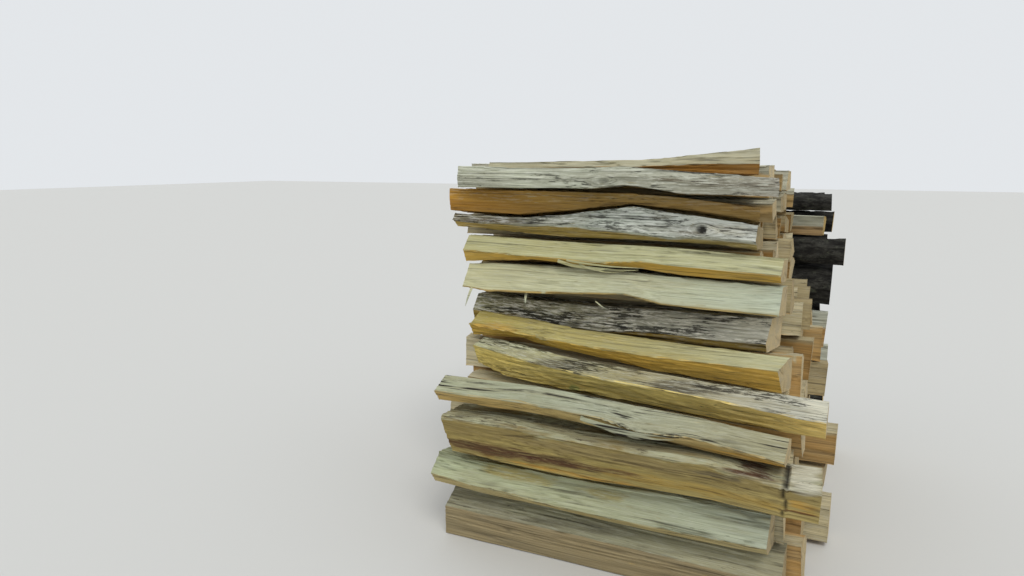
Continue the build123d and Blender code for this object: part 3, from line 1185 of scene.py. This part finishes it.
# Noises of a sawn end, and the steps of them at which its rings and its grey are full
RING_WOBBLE = Texture(30.0, 30.0, 2.0, 0.55)
END_BLOTCHES = Texture(28.0, 28.0, 4.0, 0.6)
SAW_MARKS = Texture(300.0, 500.0, 2.0, 0.55)
END_SHADE = Shade(0.6, (0.75, 0.74, 0.72), (1.15, 1.15, 1.14))
WOBBLE_TURNS = 2.5
RING_STEP = (0.55, 0.95)
RING_COVER = 0.45
GREY_STEP = (0.42, 0.6)
END_SWING = (0.72, 1.18)
END_POWERS = (1.1, 1.35)
END_CHECK = 0.6
END_BLACK = (0.05, 0.04, 0.03)
END_BUMP = 0.0008


@dataclass(frozen=True)
class SawnFinish:
    """A sawn end with its rings and radial checks.

    Attributes:
        name: Name of the material.
        base: Main colour.
        late: Colour of the darker part of each ring.
        grey: Colour of the weathered parts.
        weathering: How much has weathered.
        ring: Width of a ring.
    """

    name: str
    base: Rgb
    late: Rgb
    grey: Rgb
    weathering: float = 0.5
    ring: float = 0.0045

    def build(self) -> bpy.types.Material:
        """Make the material.

        Returns:
            The material.
        """
        s = ShaderNodes(self.name)
        away = s.add("ShaderNodeVectorMath", {0: s.way(Way.PITH)}, operation="LENGTH").outputs["Value"]
        wobble, blotch, fine = (s.noise(texture) for texture in (RING_WOBBLE, END_BLOTCHES, SAW_MARKS))
        turns = s.math("ADD", s.times(away, 1 / self.ring), s.times(wobble, WOBBLE_TURNS))
        saw = s.math("FRACT", turns)
        colour = s.mix(s.times(s.step(saw, RING_STEP), RING_COVER), self.base, self.late)
        colour = s.mix(s.times(s.step(blotch, GREY_STEP), self.weathering), colour, self.grey)
        colour = s.varied(s.shaded(colour, fine, END_SHADE), END_SWING, END_POWERS)
        colour = s.mix(s.times(s.mark(Mark.CHECK), END_CHECK), colour, END_BLACK)
        return s.finish(colour, 0.85, s.math("ADD", s.times(saw, 0.3), s.times(fine, 0.7)), END_BUMP)


# Noises of bark, and the steps of them at which its plates and its lichen are full
PLATES = Texture(22.0, 60.0, 5.0, 0.7)
CRUMBS = Texture(160.0, 260.0, 4.0, 0.65)
LICHEN = Texture(30.0, 34.0, 5.0, 0.7)
BARK_SHADE = Shade(0.8, (0.55, 0.55, 0.55), (1.5, 1.48, 1.42))
PLATE_STEP = (0.40, 0.62)
LICHEN_STEP = (0.56, 0.66)
FURROW_COVER = 0.75
BARK_BUMP = 0.004


@dataclass(frozen=True)
class BarkFinish:
    """Rough dark bark.

    Attributes:
        name: Name of the material.
        ridge: Colour of the plates.
        furrow: Colour between the plates.
        lichen: Colour of the lichen.
        cover: How much lichen there is.
    """

    name: str
    ridge: Rgb
    furrow: Rgb
    lichen: Rgb
    cover: float = 0.3

    def build(self) -> bpy.types.Material:
        """Make the material.

        Returns:
            The material.
        """
        s = ShaderNodes(self.name)
        plates, crumbs = s.noise(PLATES), s.noise(CRUMBS)
        colour = s.mix(s.step(plates, PLATE_STEP), self.furrow, self.ridge)
        colour = s.shaded(colour, crumbs, BARK_SHADE)
        colour = s.mix(s.times(s.step(s.noise(LICHEN), LICHEN_STEP), self.cover), colour, self.lichen)
        colour = s.mix(s.times(s.mark(Mark.CHECK), FURROW_COVER), colour, self.furrow)
        return s.finish(colour, 0.95, s.math("ADD", plates, s.times(crumbs, 0.5)), BARK_BUMP)


DARK = tone(46, 42, 36)

FACE_FINISHES = {
    "front_log_01": WoodFinish(
        "face_grey_low", run_of((150, 148, 122), (152, 152, 126), (166, 162, 134)), run_of((146, 132, 100)),
        tone(124, 120, 102), DARK, streaks=0.25, speckle=(0.4, 0.3)),
    "front_log_02": WoodFinish(
        "face_pale_green", run_of((176, 184, 150), (168, 172, 140), (176, 184, 164)),
        run_of((182, 166, 118), (172, 156, 106), (176, 162, 116)), tone(164, 164, 132), DARK,
        streaks=0.12, lines=0.55, speckle=(0.15, 0.25)),
    "front_log_03": WoodFinish(
        "face_inner_bark", run_of((160, 150, 108), (158, 146, 100), (184, 174, 132)),
        run_of((168, 150, 92), (166, 150, 92), (184, 166, 108)), tone(128, 110, 72), tone(58, 44, 32),
        streaks=0.45, lines=0.5, speckle=(0.8, 0.5), patches=0.5,
        bands=(Band(0.90, 1.4, tone(172, 176, 150), 0.7), Band(0.60, 0.88, tone(126, 110, 70), 0.5),
               Band(-0.4, 0.08, tone(170, 126, 60), 0.5))),
    "front_log_04": WoodFinish(
        "face_tan_lined", run_of((166, 170, 142), (164, 168, 146), (158, 154, 124)),
        run_of((196, 168, 106), (190, 170, 114), (184, 158, 100)), tone(156, 152, 122), DARK,
        streaks=0.2, lines=1.0, speckle=(0.15, 0.35)),
    "front_log_05": WoodFinish(
        "face_black_streaked", run_of((182, 184, 146), (164, 156, 118), (196, 196, 184)),
        run_of((230, 208, 120), (228, 208, 124), (232, 204, 124)), tone(150, 144, 116), tone(38, 35, 30),
        bleach=0.35, streaks=0.35, lines=0.5, speckle=(1.05, 1.0)),
    "front_log_06": WoodFinish(
        "face_olive_yellow", run_of((176, 162, 92), (182, 174, 120), (188, 188, 152)),
        run_of((206, 172, 78), (208, 172, 78), (212, 174, 86)), tone(170, 156, 96), DARK,
        streaks=0.12, lines=0.4, speckle=(0.12, 0.12)),
    "front_log_07": WoodFinish(
        "face_dark_speckled", run_of((156, 154, 116), (150, 148, 130), (196, 196, 184)),
        run_of((150, 126, 52), (148, 122, 48), (150, 130, 70)), tone(100, 98, 86), tone(30, 29, 27),
        light=tone(222, 220, 206), bleach=0.95, streaks=0.6, lines=0.7, speckle=(1.25, 1.05), patches=0.6),
    "front_log_08": WoodFinish(
        "face_wide_pale", run_of((190, 188, 150), (184, 186, 156), (180, 188, 168)),
        run_of((176, 150, 92), (172, 150, 92), (176, 156, 104)), tone(170, 168, 136), DARK,
        streaks=0.1, lines=0.45, speckle=(0.12, 0.15)),
    "front_log_09": WoodFinish(
        "face_olive_top", run_of((184, 182, 138), (182, 182, 142), (188, 188, 150)),
        run_of((198, 162, 76), (198, 162, 78), (202, 162, 72)), tone(172, 166, 118), DARK,
        streaks=0.1, lines=0.45, speckle=(0.12, 0.1)),
    "front_log_10": WoodFinish(
        "face_humped_grey", run_of((142, 130, 98), (186, 194, 182), (216, 220, 212)),
        run_of((184, 160, 92), (186, 162, 90), (184, 166, 112)), tone(140, 138, 124), tone(38, 36, 34),
        light=tone(232, 234, 226), bleach=0.6, streaks=0.45, lines=0.7, speckle=(1.15, 0.75)),
    "front_log_11": WoodFinish(
        "face_set_back", run_of((186, 140, 58), (152, 126, 72), (156, 130, 80)),
        run_of((170, 124, 50), (140, 114, 62), (146, 120, 70)), tone(136, 104, 52), DARK,
        streaks=0.3, speckle=(0.15, 0.3)),
    "front_log_12": WoodFinish(
        "face_top_grey", run_of((190, 194, 174), (180, 184, 166), (154, 150, 138)),
        run_of((164, 152, 118), (150, 130, 90), (178, 130, 62)), tone(152, 150, 134), tone(42, 40, 37),
        light=tone(214, 216, 202), bleach=0.5, streaks=0.4, lines=0.65, speckle=(0.5, 1.2)),
    "top_log_01": WoodFinish(
        "face_top_pale", run_of((176, 172, 144), (178, 174, 148), (182, 178, 152)), run_of((160, 112, 42)),
        tone(160, 150, 116), DARK, streaks=0.15, speckle=(0.15, 0.15)),
}

GOLDEN = tone(196, 152, 68)
OCHRE = tone(176, 148, 78)
REDDISH = tone(82, 50, 36)
SMUDGE = tone(96, 88, 70)
PALE = tone(206, 204, 186)

SHAPINGS = {
    "top_log_01": Shaping(right_slant=0.30),
    "front_log_12": Shaping(
        knots=(Knot(-0.050, 1.098, 0.018, 0.011, 0.006, 0.35),),
        patches=(
            Patch(0.145, 1.104, 0.05, 0.008, SMUDGE, 0.85), Patch(0.300, 1.095, 0.16, 0.014, SMUDGE, 0.55),
            Patch(0.400, 1.056, 0.12, 0.006, GOLDEN, 0.9), Patch(-0.02, 1.082, 0.10, 0.004, SMUDGE, 0.7)),
        edge_drop=0.034, right_slant=0.30),
    "front_log_11": Shaping(right_slant=0.30),
    "front_log_10": Shaping(
        knots=(Knot(0.236, 0.963, 0.015, 0.013, 0.016),),
        patches=(Patch(-0.456, 0.966, 0.12, 0.010, tone(104, 90, 66), 0.85),
                 Patch(0.205, 0.952, 0.05, 0.006, SMUDGE, 0.8), Patch(0.110, 0.994, 0.05, 0.006, SMUDGE, 0.8),
                 Patch(0.300, 0.962, 0.07, 0.014, PALE, 0.7)),
        edge_drop=0.010, right_slant=-0.05),
    "front_log_09": Shaping(right_slant=-0.05),
    "front_log_08": Shaping(right_slant=-0.05),
    "front_log_07": Shaping(
        patches=(Patch(-0.44, 0.655, 0.10, 0.008, OCHRE, 0.6), Patch(0.42, 0.68, 0.08, 0.03, PALE, 0.5)),
        edge_drop=0.004, right_slant=-0.25),
    "front_log_06": Shaping(patches=(Patch(-0.40, 0.635, 0.09, 0.014, GOLDEN, 0.6),), right_slant=-0.25),
    "front_log_05": Shaping(
        patches=(
            Patch(-0.087, 0.496, 0.018, 0.014, tone(140, 160, 96)),
            Patch(0.59, 0.545, 0.05, 0.03, PALE, 0.85),
            Patch(-0.133, 0.567, 0.10, 0.010, tone(66, 60, 50), 0.7),
            Patch(0.233, 0.548, 0.12, 0.010, tone(66, 60, 50), 0.7)),
        right_slant=0.0),
    "front_log_04": Shaping(
        patches=(Patch(0.40, 0.444, 0.12, 0.007, GOLDEN, 0.8), Patch(0.515, 0.435, 0.08, 0.006, GOLDEN, 0.8)),
        right_slant=-0.05),
    "front_log_03": Shaping(
        knots=(Knot(0.534, 0.410, 0.0062, 0.016, 0.007), Knot(0.528, 0.380, 0.0058, 0.020, 0.007, 0.9),
               Knot(0.535, 0.345, 0.0056, 0.024, 0.006, 0.9), Knot(0.530, 0.312, 0.0056, 0.014, 0.005, 0.8)),
        patches=(
            Patch(0.10, 0.385, 0.30, 0.022, tone(158, 142, 98), 0.6),
            Patch(0.30, 0.330, 0.30, 0.020, OCHRE, 0.8),
            Patch(-0.28, 0.328, 0.19, 0.026, REDDISH, 0.85), Patch(-0.10, 0.330, 0.19, 0.019, REDDISH, 0.9),
            Patch(0.08, 0.336, 0.12, 0.010, REDDISH, 0.8), Patch(-0.05, 0.296, 0.24, 0.007, GOLDEN, 0.8),
            Patch(0.38, 0.392, 0.08, 0.010, SMUDGE, 0.8), Patch(0.442, 0.420, 0.07, 0.007, REDDISH, 0.9),
            Patch(0.575, 0.405, 0.045, 0.020, PALE, 0.85), Patch(0.575, 0.350, 0.045, 0.014, GOLDEN, 0.8),
            Patch(0.570, 0.325, 0.045, 0.005, tone(122, 70, 34), 0.8)),
        right_slant=0.05),
    "front_log_02": Shaping(
        patches=(Patch(0.05, 0.240, 0.08, 0.012, tone(150, 136, 76), 0.6),
                 Patch(-0.224, 0.243, 0.13, 0.016, tone(168, 152, 84), 0.7)), right_slant=-0.05),
    "front_log_01": Shaping(right_slant=0.0),
    "rear_log_01": Shaping(edge_drop=0.060),
    "rear_log_02": Shaping(edge_drop=0.060),
    "rear_log_03": Shaping(edge_drop=0.060),
    "rear_log_04": Shaping(edge_drop=0.045),
}


class ScatterNodes(NodeTree):
    """A Geometry Nodes tree that scatters small pieces over a surface."""

    def __init__(self, name: str, values: dict[str, float]) -> None:
        """Start the tree with its inputs.

        Args:
            name: Name of the tree.
            values: Name and value of each input after the geometry.
        """
        super().__init__(bpy.data.node_groups.new(name, "GeometryNodeTree"))
        sockets = self.tree.interface
        sockets.new_socket("Geometry", in_out="INPUT", socket_type="NodeSocketGeometry")
        for label, value in values.items():
            kind = "NodeSocketInt" if isinstance(value, int) else "NodeSocketFloat"
            sockets.new_socket(label, in_out="INPUT", socket_type=kind).default_value = value
        sockets.new_socket("Geometry", in_out="OUTPUT", socket_type="NodeSocketGeometry")
        self.named = self.add("NodeGroupInput", {}).outputs

    def random(self, low: tuple[float, ...], high: tuple[float, ...], seed: int) -> Socket:
        """A random vector for each piece."""
        inputs = {"Min": low, "Max": high, "Seed": seed}
        return self.add("FunctionNodeRandomValue", inputs, data_type="FLOAT_VECTOR").outputs["Value"]


# Slivers: how far each swings from the run of the log, and its size as shares of the largest
LEAST_SWING, MOST_SWING = (-1.0, -0.10, -0.10), (1.0, 0.10, 0.10)
SWING_SHARES = (0.3, 1.0, 1.0)
ALONG_LOG = (1.0, 0.0, 0.0)
LEAST_SIZE, FULL_SIZE = (0.35, 0.6, 0.6), (1.0, 1.0, 1.0)
SWING_SEED, SIZE_SEED = 3, 7
SLIVER_FORM = {"Segments": 6, "Rings": 5, "Radius": 0.5}


@dataclass(frozen=True)
class Scatter:
    """Slivers that lie along the grain over a surface, in metres.

    Attributes:
        name: Name of the slivers.
        seed: Picks their places.
        density: How many to a square metre, where the mark is full.
        mark: The mark that says where they lie.
        length: Length of the longest.
        width: Width of the widest.
        thickness: Thickness of the thickest.
        tilt: How far one stands off the surface, as a slope.
    """

    name: str
    seed: int
    density: float = 700.0
    mark: Mark = Mark.FRAY
    length: float = 0.045
    width: float = 0.0022
    thickness: float = 0.0012
    tilt: float = 0.06

    def tree(self, material: bpy.types.Material) -> bpy.types.NodeTree:
        """Build the tree that scatters them.

        Args:
            material: Their finish.

        Returns:
            The tree.
        """
        labels = ("Density", "Length", "Width", "Thickness", "Tilt", "Seed")
        nodes = ScatterNodes(f"{self.name}_nodes", {label: getattr(self, label.lower()) for label in labels})
        named = nodes.named
        where = nodes.add("GeometryNodeInputNamedAttribute", {"Name": self.mark.value}, data_type="FLOAT")
        amount = nodes.math("MULTIPLY", where.outputs["Attribute"], named["Density"])
        inputs = {"Mesh": named["Geometry"], "Density": amount, "Seed": named["Seed"]}
        points = nodes.add("GeometryNodeDistributePointsOnFaces", inputs, distribute_method="RANDOM").outputs
        inputs = {0: points["Normal"], "Scale": named["Tilt"]}
        lift = nodes.add("ShaderNodeVectorMath", inputs, operation="SCALE")
        swing = nodes.random(LEAST_SWING, MOST_SWING, SWING_SEED)
        side = nodes.vectors("MULTIPLY_ADD", swing, SWING_SHARES, ALONG_LOG)
        aim = nodes.vectors("ADD", side, lift.outputs[0])
        level = nodes.add("FunctionNodeAlignRotationToVector", {"Vector": points["Normal"]}, axis="Z")
        inputs = {"Vector": aim, "Rotation": level.outputs["Rotation"]}
        turned = nodes.add("FunctionNodeAlignRotationToVector", inputs, axis="X", pivot_axis="AUTO")
        size = nodes.add("ShaderNodeCombineXYZ", dict(enumerate(named[label] for label in labels[1:4])))
        share = nodes.random(LEAST_SIZE, FULL_SIZE, SIZE_SEED)
        scale = nodes.vectors("MULTIPLY", size.outputs[0], share)
        sliver = nodes.add("GeometryNodeMeshUVSphere", SLIVER_FORM)
        inputs = {"Points": points["Points"], "Instance": sliver.outputs["Mesh"], "Scale": scale}
        spread = nodes.add("GeometryNodeInstanceOnPoints", {**inputs, "Rotation": turned.outputs["Rotation"]})
        real = nodes.add("GeometryNodeRealizeInstances", {"Geometry": spread.outputs["Instances"]})
        inputs = {"Geometry": real.outputs["Geometry"], "Material": material}
        done = nodes.add("GeometryNodeSetMaterial", inputs)
        nodes.add("NodeGroupOutput", {0: done.outputs["Geometry"]})
        return nodes.tree

    def over(self, surface: bpy.types.Object, material: bpy.types.Material) -> bpy.types.Object:
        """Scatter the slivers over a surface and keep them as a plain mesh.

        Args:
            surface: The surface, which is left as it is.
            material: Their finish.

        Returns:
            The new object.
        """
        carrier = placed(f"{self.name}_carrier", surface.data.copy())
        modifier = carrier.modifiers.new("scatter", "NODES")
        modifier.node_group = self.tree(material)
        for item in modifier.node_group.interface.items_tree:
            if item.in_out == "INPUT" and item.name == "Seed":
                modifier[item.identifier] = self.seed
        bpy.context.view_layer.update()
        carried = carrier.evaluated_get(bpy.context.evaluated_depsgraph_get())
        mesh = bpy.data.meshes.new_from_object(carried)
        mesh.name = self.name
        bpy.data.objects.remove(carrier)
        return placed(self.name, mesh)


# Section of a torn strip: places of its corners, as shares of its width and of its thickness. Along the
# strip, how full its arch is, how many waves it has and how deep they are as a share of its width.
STRIP_SECTION = ((-0.5, -0.3), (0.0, -0.5), (0.5, -0.3), (0.5, 0.3), (0.0, 0.5), (-0.5, 0.3))
STRIP_ARCH = 0.8
STRIP_WAVES = 5
STRIP_WAVE_DEPTH = 0.3
STRIPS_APART = 0.1


@dataclass(frozen=True)
class Ribbon:
    """A torn strip of wood that lies along a log or sticks out between two, in metres.

    Attributes:
        start: Where its root is.
        end: Where its tip is.
        bulge: How far its middle stands out to the front.
        sag: How far its middle hangs down.
        width: Its width at the root.
        thickness: Its thickness at the root.
        steps: How many sections it has.
        taper: How much narrower it is at the tip, as a share.
    """

    start: tuple[float, float, float]
    end: tuple[float, float, float]
    bulge: float
    sag: float
    width: float
    thickness: float = 0.002
    steps: int = 28
    taper: float = 0.85

    def shell(self, seed: int) -> Shell:
        """Make the strip.

        Args:
            seed: Picks its random look.

        Returns:
            Its points, faces and marks.
        """
        share = np.linspace(0, 1, self.steps)
        middle = np.array(self.start) + (np.array(self.end) - np.array(self.start)) * share[:, None]
        arch = np.sin(share * math.pi) ** STRIP_ARCH
        wave = noise(np.column_stack([share * STRIP_WAVES, share * 0, share * 0]) + seed, seed) - 0.5
        middle[:, 1] -= self.bulge * arch
        middle[:, 2] -= self.sag * arch + wave * self.width * STRIP_WAVE_DEPTH
        way = np.gradient(middle, axis=0)
        way /= np.linalg.norm(way, axis=1)[:, None]
        across = np.cross(way, np.array((0.0, -1.0, 0.0)))
        across /= np.linalg.norm(across, axis=1)[:, None]
        out = np.cross(across, way)
        narrow = (1 - self.taper * share**2)[:, None]
        sides = [
            middle + across * along * self.width * narrow + out * off * self.thickness * narrow
            for along, off in STRIP_SECTION
        ]
        flat = np.stack(sides, axis=1).reshape(-1, 3)
        number = np.arange(len(flat)).reshape(self.steps, -1)
        faces = [tuple(face) for face in side_faces(number).tolist()]
        faces += [tuple(number[0][::-1].tolist()), tuple(number[-1].tolist())]
        fans = [(face[0], face[i], face[i + 1]) for face in faces for i in range(1, len(face) - 1)]
        a, b, c = flat[np.array(fans)].transpose(1, 0, 2)
        if (a * np.cross(b, c)).sum() < 0:
            faces = [face[::-1] for face in faces]
        marks = {mark: np.zeros(len(flat)) for mark in Mark}
        marks[Mark.ALONG] = np.repeat(share, len(STRIP_SECTION))
        marks[Mark.TINT] += 0.5
        vectors = {Way.GRAIN: flat + seed * STRIPS_APART, Way.PITH: flat * 0, Way.PAINT: flat * 0}
        return Shell(flat, faces, [Surface.SPLIT.value] * len(faces), marks, vectors)


# Where a strip has torn loose from its log, and where slivers hang out between logs
TORN_STRIPS = {
    "front_log_09": (
        Ribbon((-0.190, -0.372, 0.853), (0.060, -0.352, 0.839), 0.006, 0.010, 0.010),
        Ribbon((-0.160, -0.374, 0.858), (0.080, -0.356, 0.845), 0.010, 0.004, 0.006),
        Ribbon((-0.120, -0.372, 0.850), (0.020, -0.350, 0.833), 0.006, 0.012, 0.005),
    ),
    "front_log_04": (
        Ribbon((0.010, -0.696, 0.484), (0.275, -0.704, 0.474), 0.005, 0.010, 0.012, 0.004),
        Ribbon((0.045, -0.697, 0.474), (0.262, -0.704, 0.466), 0.004, 0.008, 0.009, 0.003),
        Ribbon((0.075, -0.695, 0.465), (0.235, -0.701, 0.459), 0.004, 0.006, 0.007, 0.003),
    ),
    "front_log_08": (
        Ribbon((-0.480, -0.392, 0.752), (-0.500, -0.402, 0.690), 0.004, 0.0, 0.008),
        Ribbon((-0.292, -0.380, 0.748), (-0.290, -0.392, 0.716), 0.002, 0.0, 0.009),
        Ribbon((-0.060, -0.386, 0.740), (-0.020, -0.402, 0.722), 0.004, 0.0, 0.004),
    ),
}

# Step from one seed to the next, for the logs of one node, and the first seed of the slivers
LOG_SEEDS = 101
SLIVER_SEED = 60


@dataclass
class LogPiece:
    """One node of the heap, dressed.

    Attributes:
        node: Name of the node.
        slot: Material slot of the record; it is not used.
        grid: How finely its logs are cut.
        relief: How its logs are roughened.
        materials: Finish of each kind of surface, in the order of Surface.
        seed: Picks its random look.
        shown_front: True if only its front and top are seen.
        half_bark: True if its logs are halved with bark on the front side.
    """

    node: str
    slot: Slot
    grid: Grid
    relief: Relief
    materials: list[bpy.types.Material]
    seed: int
    shown_front: bool = False
    half_bark: bool = False

    def build(self) -> bpy.types.Object:
        """Cut, roughen and dress every log of the node, with what is torn from it.

        Returns:
            The finished piece, riding on the heap.
        """
        look = (self.shown_front, SHAPINGS.get(self.node, Shaping()), self.half_bark)
        shells = [
            RingedLog(solid, self.grid, self.relief, self.seed + LOG_SEEDS * number, *look).build()
            for number, solid in enumerate(solids_of(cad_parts[self.node]))
        ]
        strips = TORN_STRIPS.get(self.node, ())
        logger.info("%s: %d logs and %d torn strips", self.node, len(shells), len(strips))
        shells += [ribbon.shell(self.seed + number) for number, ribbon in enumerate(strips)]
        thing = Shell.joined(shells).to_object(f"{self.node}_wood", self.materials)
        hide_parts(self.node)
        return riding(thing)


def riding(thing: bpy.types.Object) -> bpy.types.Object:
    """Report a piece and give it to the heap's body.

    Args:
        thing: The piece.

    Returns:
        The same piece.
    """
    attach(thing, "root")
    logger.info("%s: %d faces", thing.name, len(thing.data.polygons))
    return thing


@dataclass
class FrontFace:
    """The logs of the front face and the loose one on top.

    Attributes:
        grid: How finely they are cut.
        relief: How they are roughened.
        first_seed: Seed of the lowest.
        seed_step: Step from one seed to the next.
    """

    grid: Grid = Grid(150, 0.0035, 0.016)
    relief: Relief = Relief()
    first_seed: int = 1000
    seed_step: int = 37

    def build(self, sawn: bpy.types.Material) -> list[bpy.types.Object]:
        """Dress them.

        Args:
            sawn: Finish of the sawn ends.

        Returns:
            The finished pieces.
        """
        made = []
        for number, (node, finish) in enumerate(FACE_FINISHES.items()):
            seed = self.first_seed + self.seed_step * number
            looks = (self.grid, self.relief, [finish.build(), sawn], seed)
            made.append(LogPiece(node, Slot.WEATHERED, *looks, shown_front=node != "top_log_01").build())
        return made


@dataclass
class Courses:
    """The split logs stacked behind the front face.

    Attributes:
        inner: How finely the logs inside the heap are cut.
        upper: How finely the logs on top are cut.
        relief: How they are roughened.
        count: How many courses there are.
        first_upper: Number of the lowest course that is seen on top.
        first_seed: Seed from which theirs are counted.
        seed_step: Step from one seed to the next.
    """

    inner: Grid = Grid(44, 0.0100, 0.012, 0.75)
    upper: Grid = Grid(74, 0.0060, 0.010, 0.3)
    relief: Relief = Relief(ledge=0.004, cut=0.09)
    count: int = 11
    first_upper: int = 10
    first_seed: int = 5000
    seed_step: int = 211

    def build(self, sawn: bpy.types.Material) -> None:
        """Dress them.

        Args:
            sawn: Finish of the sawn ends.
        """
        side = WoodFinish(
            "course_wood", run_of((186, 174, 138)), run_of((184, 148, 92)), tone(168, 158, 128), DARK,
            streaks=0.25, patches=0.8, variety=0.20).build()
        top = WoodFinish(
            "course_top_wood", run_of((182, 180, 158)), run_of((178, 150, 100)), tone(154, 150, 130), DARK,
            streaks=0.35, speckle=(0.5, 0.5), patches=0.8, variety=0.13).build()
        for number in range(1, self.count + 1):
            grid, wood = (self.inner, side) if number < self.first_upper else (self.upper, top)
            seed = self.first_seed + self.seed_step * number
            LogPiece(f"course_{number:02d}", Slot.SPLIT, grid, self.relief, [wood, sawn], seed).build()


@dataclass
class BarkStack:
    """The logs along the back of the heap, most of them with bark.

    Attributes:
        grid: How finely they are cut.
        bark_relief: How those with bark are roughened.
        split_relief: How the split ones are roughened.
        bark_count: How many have bark.
        split_count: How many are split on all sides.
        halved: Numbers of the logs with bark that are halved.
        bark_seed: Seed from which those of the logs with bark are counted.
        bark_step: Step from one of them to the next.
        split_seed: The same for the split ones.
        split_step: The same for the split ones.
    """

    grid: Grid = Grid(90, 0.0068, 0.010)
    bark_relief: Relief = Relief(plate=0.0065, sag=0.004, cut=0.08)
    split_relief: Relief = Relief(ledge=0.004, cut=0.08)
    bark_count: int = 11
    split_count: int = 4
    halved: tuple[int, ...] = (4, 6)
    bark_seed: int = 9000
    bark_step: int = 53
    split_seed: int = 12000
    split_step: int = 71

    def build(self, sawn: bpy.types.Material, split: bpy.types.Material) -> None:
        """Dress them.

        Args:
            sawn: Finish of the sawn ends.
            split: Finish of the split sides of the halved logs.
        """
        bark = BarkFinish("black_bark", tone(66, 66, 62), tone(28, 27, 26), tone(112, 118, 100)).build()
        pale = WoodFinish(
            "rear_wood", run_of((188, 192, 178)), run_of((168, 134, 84)), tone(170, 170, 152), DARK,
            streaks=0.25, patches=0.6, variety=0.08).build()
        for number in range(1, self.bark_count + 1):
            seed = self.bark_seed + self.bark_step * number
            looks = (self.grid, self.bark_relief, [split, sawn, bark], seed, False, number in self.halved)
            LogPiece(f"bark_log_{number:02d}", Slot.BARK, *looks).build()
        for number in range(1, self.split_count + 1):
            seed = self.split_seed + self.split_step * number
            looks = (self.grid, self.split_relief, [pale, sawn], seed)
            LogPiece(f"rear_log_{number:02d}", Slot.SPLIT, *looks).build()


@dataclass(frozen=True)
class Studio:
    """Floor, light and camera round the heap.

    Attributes:
        eye: Place of the camera.
        turn: How far it is turned from the heap's depth, in degrees.
        dip: How far it looks down, in degrees.
        lens: Focal length in millimetres.
        sensor: Width of its sensor in millimetres.
        reach: How far the floor reaches.
        drop: How far it lies under the heap.
        sun: Way from the heap to the sun.
        sun_width: How wide the sun is, in degrees.
    """

    eye: tuple[float, float, float] = (0.6534, -2.4763, 1.160)
    turn: float = 25.4
    dip: float = 9.81
    lens: float = 26.02
    sensor: float = 36.0
    reach: float = 30.0
    drop: float = 0.001
    sun: tuple[float, float, float] = (0.55, -0.75, 1.25)
    sun_width: float = 25.0

    def build(self) -> None:
        """Make the floor, the light and the camera."""
        scene = bpy.context.scene
        mesh = bpy.data.meshes.new("floor")
        far = self.reach
        corners = [(x, y, -self.drop) for x, y in ((-far, -far), (far, -far), (far, far), (-far, far))]
        mesh.from_pydata(corners, [], [(0, 1, 2, 3)])
        plain = ShaderNodes("studio_floor")
        surface = plain.add("ShaderNodeBsdfPrincipled", {"Base Color": (0.62, 0.62, 0.60), "Roughness": 0.95})
        plain.add("ShaderNodeOutputMaterial", {"Surface": surface.outputs["BSDF"]})
        mesh.materials.append(plain.material)
        placed("floor", mesh)
        scene.world = bpy.data.worlds.new("studio")
        scene.world.use_nodes = True
        sky = scene.world.node_tree.nodes["Background"]
        sky.inputs["Color"].default_value = (0.94, 0.97, 1.0, 1.0)
        sky.inputs["Strength"].default_value = 0.82
        lamp = bpy.data.lights.new("key", "SUN")
        lamp.energy = 1.15
        lamp.angle = math.radians(self.sun_width)
        lamp.color = (1.0, 0.97, 0.92)
        placed("key", lamp).rotation_euler = Vector(self.sun).to_track_quat("Z", "Y").to_euler()
        lens = bpy.data.cameras.new("camera")
        lens.lens = self.lens
        lens.sensor_width = self.sensor
        camera = placed("camera", lens)
        camera.location = self.eye
        camera.rotation_euler = (math.radians(90 - self.dip), 0.0, math.radians(self.turn))
        scene.camera = camera
        scene.view_settings.view_transform = "Standard"


def main() -> None:
    """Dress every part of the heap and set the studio."""
    logging.basicConfig(level=logging.INFO, format="%(message)s")
    sawn = SawnFinish("sawn_end", tone(186, 168, 128), tone(150, 124, 84), tone(150, 142, 122)).build()
    pale = SawnFinish(
        "sawn_end_pale", tone(206, 178, 112), tone(176, 140, 84), tone(170, 150, 112), 0.35).build()
    split_back = WoodFinish(
        "split_back", run_of((160, 140, 100)), run_of((154, 128, 86)), tone(136, 118, 86), DARK,
        streaks=0.4).build()
    fronts = FrontFace().build(sawn)
    Courses().build(sawn)
    BarkStack().build(pale, split_back)
    sliver_wood = WoodFinish(
        "sliver_wood", run_of((176, 170, 136)), run_of((170, 148, 98)), tone(152, 146, 118), DARK).build()
    for number, log in enumerate(fronts):
        slivers = Scatter(f"{log.name}_slivers", SLIVER_SEED + number)
        riding(slivers.over(log, sliver_wood))
    Studio().build()


if __name__ == "__main__":
    main()
